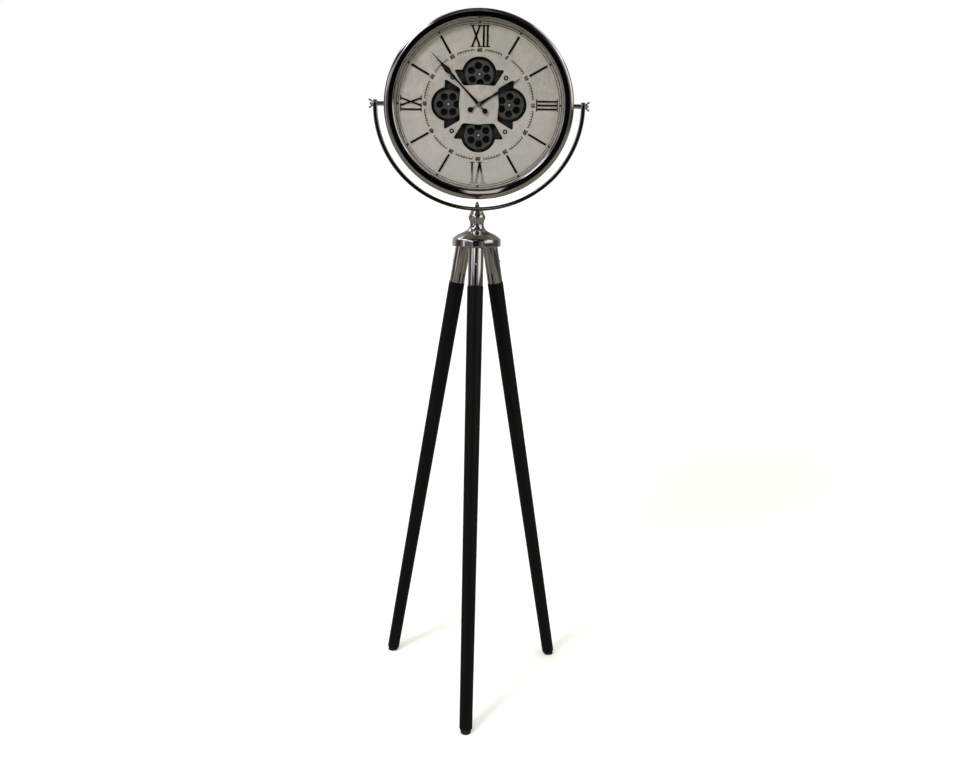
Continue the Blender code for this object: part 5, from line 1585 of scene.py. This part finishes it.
    def serifs(self, places: Sequence[float]) -> list:
        """Find where the serifs at one end start and stop, with those that meet joined into one.

        Args:
            places: the strokes' sideways places at that end.

        Returns:
            Each serif's start and stop.
        """
        spans: list = []
        for place in sorted(places):
            low, high = place - self.serif_width / 2, place + self.serif_width / 2
            if spans and low < spans[-1][1]:
                spans[-1] = (spans[-1][0], high)
            else:
                spans.append((low, high))
        return spans

    def build_numeral(self, hour: Hour) -> None:
        """A Roman numeral with its top outwards: bevelled strokes, each a hair lower, and serifs.

        Args:
            hour: the numeral's hour.
        """
        strokes, low = self.strokes(self.letters[hour]), self.marker_low
        reach = (self.numeral_length - self.serif_height) / 2
        shapes = []
        for index, (outer, inner) in enumerate(strokes):
            top = self.marker_high - self.stroke_step * (index % 3)
            shapes.append(bar((inner, -reach), (outer, reach), self.stroke, low, top, self.stroke_edge))
        for end, sign in ((0, 1), (1, -1)):
            for start, stop in self.serifs([stroke[end] for stroke in strokes]):
                shapes.append(bar((start, sign * reach), (stop, sign * reach), self.serif_height, low,
                                  self.marker_high - self.serif_drop, self.serif_edge))
        turn = hour.value * QUARTER
        x, y = clock_polar(self.marker_middle, turn)
        place = HEAD_PLACE @ Matrix.Translation((x, y, 0)) @ Matrix.Rotation(-turn, 4, "Z")
        Piece(f"roman_{hour.label}", "clock", "dark_marker", MARKER_METAL, (f"numeral_{hour.label}",)).add(
            shapes[0].joined(*shapes[1:]), place)

    def build_screw(self, number: int) -> None:
        """A cheese-head screw with a rounded edge and a slot turned its own way, on a black ring that paints
        the shadow round its head.

        Args:
            number: which of the four, counted from 1.
        """
        x, y = clock_polar(self.idler_ring, QUARTER * (number - 0.5))
        place = HEAD_PLACE @ Matrix.Translation((x, y, 0))
        mesh = welded(headed(self.screw_shank, self.screw_head, self.screw_seat, 48), f"dial_fixing_{number}")
        turned = Matrix.Rotation(math.radians(self.slot_turns[number - 1]), 4, "Z")
        slot = box_shape(self.slot_size, (0, 0, self.slot_height)).placed(turned)
        Piece(f"dial_fixing_{number}", "clock", "steel", SCREW_STEEL, (f"dial_screw_{number}",)).add(
            cut_away(mesh, slot), place)
        # painted shadow: a black ring round the screw's head
        Piece(f"dial_washer_{number}", "clock", "dark_marker", PAINTED_SHADOW_BLACK).add(
            washer(self.washer_radii, self.washer_depths, self.washer_edge), place)

    def build(self) -> None:
        """Build the dial's pieces."""
        self.build_board()
        self.build_reveals()
        self.build_print()
        self.build_minute_numbers()
        self.build_batons()
        for hour in Hour:
            self.build_numeral(hour)
        for number in (1, 2, 3, 4):
            self.build_screw(number)


@dataclass
class GearTrain:
    """The four display wheels in the windows, the idlers between them, their posts' rivets and the pinion."""

    module: float = 0.00233887
    tip_share: float = 0.88
    root_share: float = 1.15
    tooth_share: float = 0.40
    flank: float = math.radians(20)
    wheel_teeth: int = 30
    idler_teeth: int = 26
    wheel_ring: float = 0.074
    idler_ring: float = 0.0917
    flange_radius: float = 0.0375
    flange_front: float = 0.0083
    flange_thickness: float = 0.0014
    flange_edge: float = 0.0003
    tooth_front: float = 0.0068
    tooth_back: float = 0.0033
    tooth_edge: float = 0.0001
    bore: float = 0.0031
    hole_radius: float = 0.0090
    hole_ring: float = 0.02105
    hole_turns: dict = field(default_factory=lambda: {
        Hour.TWELVE: -7.0, Hour.THREE: 3.5, Hour.SIX: -3.0, Hour.NINE: 29.0})
    ring_radii: tuple = (0.0051, 0.0072)
    ring_heights: tuple = (-0.0002, 0.0006)
    ring_edge: float = 0.0003
    rivet_shank: tuple = (0.0025, 0.0, 0.0003)
    rivet_head: tuple = (0.0029, 0.0010)
    rivet_seat: float = 0.0007
    # the black ring that paints the shade of the groove round each rivet
    washer_radii: tuple = (0.0027, 0.0050)
    washer_depths: tuple = (0.0084, 0.00855)
    washer_edge: float = 0.00005
    idler_step: float = 0.001
    idler_bore: float = 0.0043
    idler_hole: float = 0.0027
    idler_hole_ring: float = 0.0155
    idlers: tuple = (("1_30", 0.5), ("4_30", 1.5), ("7_30", 2.5), ("10_30", 3.5))

    def teeth(self, count: int, phase: float) -> np.ndarray:
        """Return a toothed outline: each tooth runs from root to tip and back, with straight leaning flanks.

        A point on the root or tip circle of radius r lies at (r cos t, r sin t), and a tooth's four turns t
        lie about its middle by the half thickness there over r.

        Args:
            count: how many teeth there are.
            phase: the angle of the first tooth's middle.

        Returns:
            The closed outline's points.
        """
        pitch = self.module * count / 2
        tip, root = pitch + self.module * self.tip_share, pitch - self.module * self.root_share
        half, lean = math.pi * self.module * self.tooth_share / 2, math.tan(self.flank)
        tip_turn, root_turn = (half - (tip - pitch) * lean) / tip, (half + (pitch - root) * lean) / root
        centre = phase + FULL_TURN * np.arange(count)[:, None] / count
        turn = centre + np.array((-root_turn, -tip_turn, tip_turn, root_turn))
        radius = np.broadcast_to(np.array((root, tip, tip, root)), turn.shape)
        return np.stack([radius * np.cos(turn), radius * np.sin(turn)], axis=-1).reshape(-1, 2)

    def build_wheel(self, hour: Hour) -> None:
        """A six-holed disc with a hub ring in front and its teeth behind.

        Args:
            hour: the window in which it shows.
        """
        turn, angle, front = math.radians(self.hole_turns[hour]), hour.value * QUARTER, self.flange_front
        places = [clock_polar(self.hole_ring, turn + math.pi / 3 * index) for index in range(6)]
        holes = [circle_line(self.bore, 32)] + [circle_line(self.hole_radius, 48, place) for place in places]
        disc = sheet_shape([circle_line(self.flange_radius, 144), *holes],
                           front - self.flange_thickness, front, self.flange_edge, 2)
        toothed = self.teeth(self.wheel_teeth, QUARTER - angle + math.pi / self.wheel_teeth)
        layer = sheet_shape([toothed, *holes], self.tooth_back, self.tooth_front, self.tooth_edge, 1)
        low, high = self.ring_heights
        ring = washer(self.ring_radii, (front + low, front + high), self.ring_edge)
        x, y = clock_polar(self.wheel_ring, angle)
        place = HEAD_PLACE @ Matrix.Translation((x, y, 0))
        name = f"display_wheel_{hour.label}"
        Piece(f"holed_wheel_{hour.label}", name, "wheel_grey", WHEEL_METAL, (name,)).add(
            disc.joined(layer, ring), place)
        self.build_post(hour, place)

    def build_post(self, hour: Hour, place: Matrix) -> None:
        """The riveted end of a wheel's post, and a black ring under it that paints the shade of the groove
        round the rivet.

        Args:
            hour: the wheel's hour.
            place: the wheel's own frame.
        """
        front, (radius, end, under) = self.flange_front, self.rivet_shank
        rivet = headed((radius, front + end, front + under), self.rivet_head, front + self.rivet_seat, 40)
        Piece(f"post_rivet_{hour.label}", "clock", "steel", RIVET_STEEL).add(rivet, place)
        # painted shade: a black ring for the groove round the rivet
        Piece(f"post_washer_{hour.label}", "clock", "plate_black", PAINTED_SHADOW_BLACK).add(
            washer(self.washer_radii, self.washer_depths, self.washer_edge, 1, 40), place)

    def build_idler(self, label: str, quarters: float) -> None:
        """A small toothed wheel with five round holes, seen at the edge of the windows.

        Args:
            label: its place as a clock's hour, as in the node's name.
            quarters: that place in quarter turns from 12.
        """
        angle, name = quarters * QUARTER, f"idler_wheel_{label}"
        places = [clock_polar(self.idler_hole_ring, FULL_TURN * index / 5) for index in range(5)]
        outlines = [self.teeth(self.idler_teeth, QUARTER - angle), circle_line(self.idler_bore, 32)]
        outlines += [circle_line(self.idler_hole, 24, place) for place in places]
        layer = sheet_shape(outlines, self.tooth_back, self.tooth_front - self.idler_step, self.tooth_edge, 1)
        x, y = clock_polar(self.idler_ring, angle)
        Piece(f"idler_{label}", name, "wheel_grey", IDLER_METAL_IN_PAINTED_SHADE, (name,)).add(
            layer, HEAD_PLACE @ Matrix.Translation((x, y, 0)))

    def build(self) -> None:
        """Build the wheels, and finish the plate, motor and pinion that stay as packed."""
        for hour in Hour:
            self.build_wheel(hour)
        for label, quarters in self.idlers:
            self.build_idler(label, quarters)
        refinish("gear_plate", PLATE_PAINT)
        refinish("gear_motor", MOULDED_BLACK)
        refinish("drive_pinion", STEEL)


@dataclass(frozen=True)
class Hand:
    """One hand: its node, its sizes from the axis, its rest turn and its outline's shares."""

    node: str
    length: float
    tail: float
    turn: float
    collet: tuple
    plate: float
    shares: tuple


HOUR_HAND = Hand("hour_hand", 0.1175, 0.0240, math.radians(57.6), (0.0148, 0.0183), 0.0161, (
    (0.07, 0.52), (0.20, 0.38), (0.36, 0.28), (0.42, 0.50), (0.47, 0.30), (0.60, 1.0), (0.70, 0.62),
    (0.80, 0.26), (1.0, 0.06),
))
MINUTE_HAND = Hand("minute_hand", 0.171, 0.0222, math.radians(316.8), (0.0186, 0.0199), 0.01925, (
    (0.045, 0.54), (0.16, 0.38), (0.33, 0.25), (0.49, 0.30), (0.535, 0.56), (0.58, 0.30), (0.655, 1.0),
    (0.72, 0.66), (0.79, 0.28), (1.0, 0.06),
))


@dataclass
class Hands:
    """The two hands with their collets and the nut that holds them."""

    width: float = 0.015
    thickness: float = 0.001
    edge: float = 0.00025
    side_rounding: float = 0.0030
    tip_rounding: float = 0.0003
    rounding_steps: int = 5
    collet_radius: float = 0.0055
    collet_edge: float = 0.0003
    disc_radius: float = 0.0066
    neck: float = 0.0042
    bore: float = 0.0019
    nut_body: tuple = ((0, 0.0202), (0.0041, 0.0202), (0.0044, 0.0205), (0.0044, 0.0211), (0.0041, 0.0214))
    nut_dome: tuple = (0.0038, 0.0012)

    def outline(self, hand: Hand) -> np.ndarray:
        """Return a hand's outline along +Y: its shares of the length and half width, a neck and a round tail.

        Args:
            hand: the hand.

        Returns:
            The closed outline's points.
        """
        half_neck, steps = self.neck / 2, self.rounding_steps
        meet = math.asin(half_neck / self.disc_radius)
        disc = arc_points(self.disc_radius, QUARTER - meet, -QUARTER, 20, (0, -hand.tail))
        shares = reversed(hand.shares)
        blade = np.array([(half * self.width / 2, share * hand.length) for share, half in shares])
        right = np.concatenate([blade, [(self.collet_radius, 0), (half_neck, -self.collet_radius)]])
        left = right[::-1] * (-1, 1)
        reach = np.full(len(right) * 2, self.side_rounding)
        reach[[0, -1]] = self.tip_rounding
        whole = softened(np.concatenate([right, left]), reach, steps)
        cut = len(right) * (steps + 1)
        return np.concatenate([whole[:cut], disc, disc[::-1][1:] * (-1, 1), whole[cut:]])

    def build_hand(self, hand: Hand) -> None:
        """A thin hand with rounded edges on a turned collet.

        Args:
            hand: the hand.
        """
        low, high = hand.plate - self.thickness / 2, hand.plate + self.thickness / 2
        blade = sheet_shape([self.outline(hand), circle_line(self.bore, 32)], low, high, self.edge, 2)
        boss = washer((self.bore, self.collet_radius), hand.collet, self.collet_edge)
        Piece(f"{hand.node}_blade", hand.node, "hand_black", HAND_PAINT, (hand.node,)).add(
            blade.joined(boss), HEAD_PLACE @ Matrix.Rotation(-hand.turn, 4, "Z"))

    def build(self) -> None:
        """Build both hands and the nut, and finish the arbor."""
        self.build_hand(HOUR_HAND)
        self.build_hand(MINUTE_HAND)
        nut = np.concatenate([self.nut_body, dome(*self.nut_dome, self.nut_body[-1][1], 10)])
        Piece("domed_hand_nut", "minute_hand", "steel", NUT_STEEL, ("hand_nut",)).add(
            lathe(nut, 48, False), HEAD_PLACE)
        refinish("minute_arbor", STEEL)


@dataclass
class Movement:
    """The quartz movement behind the dial: a box with a bay, its cell, the bush and the setting knob."""

    side: float = 0.056
    front: float = -0.0005
    back: float = -0.0165
    corner: float = 0.005
    edge: float = 0.0012
    bay_size: tuple = (0.051, 0.0155, 0.013)
    bay_height: float = 0.0150
    well_radius: float = 0.0024
    well_depths: tuple = (-0.002, 0.0045)
    bush_bore: float = 0.0019
    bush_radius: float = 0.004
    bush_front: float = 0.0145
    bush_overlap: float = 0.001
    thread_depth: float = 0.00025
    thread_steps: int = 60
    cell_profile: tuple = (
        (0.0002, -0.0245), (0.0056, -0.0245), (0.0067, -0.0238), (0.0067, 0.0222), (0.0056, 0.0228),
        (0.0026, 0.0228), (0.0026, 0.0243), (0.0002, 0.0243),
    )
    cell_edge: float = 0.0004
    cell_lift: float = 0.0002
    knob_place: tuple = (0.014, -0.014)
    knob_profile: tuple = (
        (0.002, 0.0039), (0.002, 0.0002), (0.0050, -0.0002), (0.0056, -0.0008), (0.0056, -0.0046),
        (0.0048, -0.0052), (0.0, -0.0052),
    )
    ridges: int = 14
    ridge_heights: tuple = (0, 0, 0, 0.0004, 0.0004, 0, 0)

    def build_box(self) -> None:
        """A rounded square case, cut by the cell's bay and the knob's well, with the threaded bush in front.

        The bush's radius steps between the thread's crest and root along its length.
        """
        half, name = self.side / 2, "quartz_movement"
        rim = softened(((-half, -half), (half, -half), (half, half), (-half, half)), self.corner, 6)
        mesh = welded(sheet_shape([rim], self.back, self.front, self.edge, 3), name)
        mesh = cut_away(mesh, box_shape(self.bay_size, (0, self.bay_height, self.back)))
        well = cylinder(self.well_radius, *(self.back + depth for depth in self.well_depths))
        mesh = cut_away(mesh, well.placed(Matrix.Translation((*self.knob_place, 0))))
        share, start = np.linspace(0, 1, self.thread_steps + 1), self.front - self.bush_overlap
        crests = self.bush_radius - self.thread_depth * (np.arange(self.thread_steps + 1) % 2)
        thread = np.stack([crests, self.front + (self.bush_front - self.front) * share], axis=1)
        bush = np.concatenate([[(self.bush_bore, start), (self.bush_radius, start)], thread,
                               [(self.bush_bore, self.bush_front)]])
        Piece(name, "clock", "moulded_black", MOULDED_BLACK, ("movement",)).add(
            shape_of(mesh).joined(lathe(bush, 48)), HEAD_PLACE)

    def build_cell(self) -> None:
        """A plain unmarked cell in the bay: a rolled jacket with a raised contact at one end."""
        place = HEAD_PLACE @ Matrix.Translation((0, self.bay_height, self.back + self.cell_lift))
        Piece("plain_cell", "clock", "steel", CELL_JACKET).add(
            lathe(softened(self.cell_profile, self.cell_edge, 3), 48),
            place @ Matrix.Rotation(QUARTER, 4, "Y"))

    def build_knob(self) -> None:
        """The setting knob: its radius waves with the turn to give grip ridges, and its rim is rounded."""
        turn = np.linspace(0, FULL_TURN, self.ridges * 12, endpoint=False)
        wave = 0.5 + 0.5 * np.cos(turn * self.ridges)
        profile = np.array(self.knob_profile)
        radius = profile[:, 0:1] + np.array(self.ridge_heights)[:, None] * wave
        rings = np.broadcast_arrays(radius * np.cos(turn), radius * np.sin(turn), profile[:, 1:2])
        rings = np.stack(rings, axis=-1)
        top = np.broadcast_to(np.array((0, 0, profile[0, 1])), (1, len(turn), 3))
        points = np.concatenate([top, rings]).reshape(-1, 3)
        shape = Shape(points, grid_faces(len(profile) + 1, len(turn), False, True))
        Piece("setting_knob", "time_set_knob", "moulded_black", MOULDED_BLACK, ("time_set_knob",)).add(
            shape, HEAD_PLACE @ Matrix.Translation((*self.knob_place, self.back)))

    def build(self) -> None:
        """Build the movement's pieces."""
        self.build_box()
        self.build_cell()
        self.build_knob()


@dataclass(frozen=True)
class Softbox:
    """A patch of light that only gloss sees, by its direction in degrees; it may lean as it runs round."""

    azimuth: float
    elevation: float
    half_width: float
    half_height: float
    glow: tuple
    lean: float = 0.0

    def mask(self, turn: Signal, rise: Signal) -> Signal:
        """Return 1 inside the patch and 0 outside.

        Args:
            turn: the direction's azimuth in degrees.
            rise: its elevation in degrees.

        Returns:
            The patch's share, with soft edges.
        """
        offset = turn - self.azimuth
        aside = offset.math("ABSOLUTE").step(self.half_width * 0.6, self.half_width * 1.1)
        above = (rise - self.elevation - offset * self.lean).math("ABSOLUTE")
        above = above.step(self.half_height * 0.75, self.half_height * 1.1)
        return (1.0 - aside) * (1.0 - above)


# What the chrome mirrors: by azimuth in degrees from the front, positive towards +X, or by the direction's X
ROOM_LIGHTS = (
    Softbox(-44, 15.5, 30, 7, (0.34, 0.30, 0.32)),
    Softbox(-98, 48, 52, 13, (1.80, 1.70, 2.05)),
    Softbox(-34, 34.3, 20, 8, (1.70, 1.58, 1.92), -0.75),
    Softbox(64, 21, 26, 18, (1.05, 1.02, 1.02)),
    Softbox(86, 45, 27, 14, (1.05, 1.00, 1.06)),
    Softbox(-6, 52, 13, 24, (0.10, 0.092, 0.10)),
    Softbox(-0.95, -0.72, 1.25, 1.0, (0.98, 0.90, 0.88)),
)
WALL_LEVELS = (
    (-180, 0.30), (-152, 0.50), (-128, 0.50), (-110, 0.12), (-98, 0.035), (-80, 0.08), (-68, 0.15),
    (-65, 0.85), (-59, 0.85), (-54, 0.16), (-35, 0.13), (-21, 0.16), (-17.5, 0.24),
    (-14.5, 0.04), (-9, 0.003), (9, 0.003), (12, 0.05), (19, 0.12), (27, 0.12), (29, 0.30), (32, 0.30),
    (34, 0.10), (42, 0.08), (52, 0.05), (67, 0.04), (80, 0.08), (122, 0.08), (136, 0.28),
    (155, 0.30), (180, 0.30),
)
WALL_TINTS = (
    (-180, (1.0, 0.96, 0.86)), (-75, (1.0, 0.94, 0.90)), (-55, (0.98, 0.88, 1.06)), (-15, (0.98, 0.86, 1.06)),
    (10, (1.0, 0.86, 1.04)), (24, (1.0, 0.96, 0.90)), (180, (1.0, 0.96, 0.86)),
)
CEILING_LEVELS = ((-1.0, 0.30), (-0.36, 0.38), (-0.12, 0.07), (0.16, 0.05), (0.36, 0.24), (1.0, 0.05))


@dataclass
class Studio:
    """The pale floor, the soft light and the camera that stands where the photograph was taken."""

    floor_reach: float = 90.0
    floor_start: float = 0.3
    floor_rings: int = 16
    floor_drop: float = 0.0002
    floor_white: tuple = (0.88, 0.88, 0.88)
    floor_glow: tuple = (0.90, 0.92, 1.0)
    near_glow: float = 0.12
    glow_gain: float = 0.30
    glow_reach: tuple = (0.4, 7.0)
    floor_seen: tuple = (0.215, 0.20, 0.16)
    ceiling_tint: tuple = (1.0, 0.96, 0.88)
    ceiling_front: tuple = (0.022, 0.02, 0.022)
    matt_light: tuple = (0.90, 0.91, 0.80)
    wall_top: tuple = (17.0, 26.0)
    wall_foot: tuple = (-6.0, -12.0)
    streak_scale: float = 0.17
    key_place: tuple = (-1.8, -2.4, 3.6)
    key_size: tuple = (1.0, 1.0)
    key_power: float = 112.0
    key_colour: tuple = (0.89, 0.93, 1.0)
    fill_place: tuple = (2.4, -1.9, 0.9)
    fill_size: tuple = (1.6, 2.0)
    fill_power: float = 16.0
    aim_height: float = 1.2
    yaw: float = -0.0186
    pitch: float = 0.0535
    roll: float = 0.0175
    eye: tuple = (0.0497, -2.2514 + AXIS_Y, 1.2607)
    lens: float = 34.36
    shift: float = -0.166

    def build_floor(self) -> None:
        """A wide pale disc under the feet, brightened for the camera alone so that it meets the backdrop."""
        radii = np.concatenate([[0.0], np.geomspace(self.floor_start, self.floor_reach, self.floor_rings)])
        disc = lathe(np.stack([radii, np.full_like(radii, -self.floor_drop)], axis=1), 64, False)
        mesh = welded(disc, "studio_floor")
        material = bpy.data.materials.new("pale_floor")
        material.use_nodes = True
        paint = Paint(material.node_tree)
        matt = paint.node("ShaderNodeBsdfDiffuse", None, Color=(*self.floor_white, 1.0))
        across, along, _ = paint.split(paint.place())
        distance = (across * across + along * along).math("SQRT")
        camera = Signal(paint, paint.node("ShaderNodeLightPath").outputs["Is Camera Ray"])
        strength = camera * (distance.step(*self.glow_reach) * self.glow_gain + self.near_glow)
        glow = paint.node("ShaderNodeEmission", None, Color=(*self.floor_glow, 1.0), Strength=strength)
        both = paint.node("ShaderNodeAddShader", None, s0=matt.outputs[0], s1=glow.outputs[0])
        paint.node("ShaderNodeOutputMaterial", None, s0=both.outputs[0])
        mesh.materials.append(material)
        floor = linked("studio_floor", mesh)
        floor.visible_glossy = False

    def walls_seen(self, paint: Paint, turn: Signal) -> bpy.types.NodeSocket:
        """Return the walls' colour by azimuth: their level times their tint.

        Args:
            paint: the world's tree.
            turn: the azimuth in degrees.

        Returns:
            The colour's socket.
        """
        place = turn / 360.0 + 0.5
        levels = [((angle + 180) / 360, (level,) * 3) for angle, level in WALL_LEVELS]
        tints = [((angle + 180) / 360, tint) for angle, tint in WALL_TINTS]
        wall = paint.node("ShaderNodeValToRGB", {"stops": levels}, s0=place).outputs["Color"]
        tint = paint.node("ShaderNodeValToRGB", {"stops": tints}, s0=place).outputs["Color"]
        return paint.blend(1.0, wall, tint, "MULTIPLY")

    def streaks_seen(self, paint: Paint, turn: Signal, rise: Signal) -> bpy.types.NodeSocket:
        """Return the room's faint upright streaks, as cloths and stands give, stronger towards the floor.

        Args:
            paint: the world's tree.
            turn: the azimuth in degrees.
            rise: the elevation in degrees.

        Returns:
            The grey that the room's colour is multiplied by.
        """
        noise = paint.node("ShaderNodeTexNoise", {"noise_dimensions": "1D"}, W=turn, Scale=self.streak_scale,
                           Detail=5.0, Roughness=0.66)
        streak = Signal(paint, noise.outputs["Fac"]).step(0.36, 0.62)
        low = 1.0 - rise.step(-12.0, -5.0)
        level = (streak - 0.5) * (low * 0.75 + 0.5) + 0.86
        return paint.node("ShaderNodeCombineColor", None, s0=level, s1=level, s2=level).outputs[0]

    def room_seen_in_gloss(self, paint: Paint) -> bpy.types.NodeSocket:
        """Return the room's colour by direction: banded walls, a floor, a ceiling and softboxes.

        The wall's level follows the azimuth, the ceiling's the direction's X, darker in front. What lies close
        to the camera is black.

        Args:
            paint: the world's tree.

        Returns:
            The colour's socket.
        """
        across, back, up = paint.split(paint.node("ShaderNodeTexCoord").outputs["Generated"])
        ahead = 0 - back
        turn = across.math("ARCTAN2", ahead) * math.degrees(1)
        rise = up.math("ARCSINE") * math.degrees(1)
        stops = [((side + 1) / 2, toned(self.ceiling_tint, level)) for side, level in CEILING_LEVELS]
        ceiling = paint.node("ShaderNodeValToRGB", {"stops": stops}, s0=across * 0.5 + 0.5).outputs["Color"]
        ceiling = paint.blend(back.step(-0.25, 0.35), self.ceiling_front, ceiling)
        near = ahead.step(0.2, 0.9) * (1.0 - across.math("ABSOLUTE").step(0.02, 0.16))
        floor = paint.blend(near, self.floor_seen, toned(self.floor_seen, 0.5))
        colour = paint.blend(rise.step(*self.wall_top), self.walls_seen(paint, turn), ceiling)
        colour = paint.blend(rise.step(*self.wall_foot), colour, floor)
        for light in ROOM_LIGHTS:
            colour = paint.blend(light.mask(turn, rise), colour, light.glow, "ADD")
        return paint.blend(1.0, colour, self.streaks_seen(paint, turn, rise), "MULTIPLY")

    def build_world(self) -> None:
        """A soft room: white for the camera, even for matt surfaces, softboxes for gloss."""
        world = bpy.data.worlds.new("studio_room")
        bpy.context.scene.world = world
        world.use_nodes = True
        paint = Paint(world.node_tree)
        rays = paint.node("ShaderNodeLightPath").outputs
        kinds = ("Camera", "Glossy", "Transmission")
        camera, glossy, clear = (Signal(paint, rays[f"Is {kind} Ray"]) for kind in kinds)
        colour = paint.blend(glossy, self.matt_light, self.room_seen_in_gloss(paint))
        colour = paint.blend(camera.math("MAXIMUM", clear), colour, (1.0, 1.0, 1.0))
        back = paint.node("ShaderNodeBackground", None, Color=colour, Strength=1.0)
        paint.node("ShaderNodeOutputWorld", None, s0=back.outputs[0])

    def add_lamp(self, name: str, place: Numbers, size: Numbers, power: float, colour: tuple) -> None:
        """Hang a soft rectangular lamp that faces the clock and that gloss doesn't show.

        Args:
            name: the lamp's name.
            place: where it hangs.
            size: its width and height.
            power: its power in watts.
            colour: its colour.
        """
        data = bpy.data.lights.new(name, "AREA")
        data.shape, data.size, data.size_y, data.energy = "RECTANGLE", size[0], size[1], power
        data.color = colour
        lamp = linked(name, data)
        lamp.location = place
        towards = Vector((0, 0, self.aim_height)) - Vector(place)
        lamp.rotation_euler = towards.to_track_quat("-Z", "Y").to_euler()
        lamp.visible_glossy = False

    def build_lamps(self) -> None:
        """A key from above and the left in front, and a weak broad fill from the right."""
        self.add_lamp("key_light", self.key_place, self.key_size, self.key_power, self.key_colour)
        self.add_lamp("fill_light", self.fill_place, self.fill_size, self.fill_power, (1.0, 1.0, 1.0))

    def build_camera(self) -> None:
        """The camera, turned by its yaw, pitch and roll."""
        yaw, pitch, roll = self.yaw, self.pitch, self.roll
        forward = Vector((math.sin(yaw) * math.cos(pitch), math.cos(yaw) * math.cos(pitch), -math.sin(pitch)))
        right = forward.cross(Vector((0, 0, 1))).normalized()
        up = right.cross(forward)
        leaned = right * math.cos(roll) + up * math.sin(roll)
        raised = up * math.cos(roll) - right * math.sin(roll)
        place = Matrix((leaned, raised, -forward)).transposed().to_4x4()
        place.translation = Vector(self.eye)
        data = bpy.data.cameras.new("photograph_view")
        data.lens, data.sensor_width, data.shift_y = self.lens, 36.0, self.shift
        data.dof.use_dof = False
        camera = linked("photograph_view", data)
        camera.matrix_world = place
        bpy.context.scene.camera = camera

    def build(self) -> None:
        """Set the studio."""
        bpy.context.scene.view_settings.view_transform = "Standard"
        self.build_floor()
        self.build_world()
        self.build_lamps()
        self.build_camera()


def main() -> None:
    """Build every sub-assembly in order and report each piece."""
    logging.basicConfig(level=logging.INFO, format="%(message)s")
    Studio().build()
    for part in (Stand(), Yoke(), Pivots(), Case(), Dial(), GearTrain(), Hands(), Movement()):
        LOG.info("building %s", type(part).__name__)
        part.build()


if __name__ == "__main__":
    main()
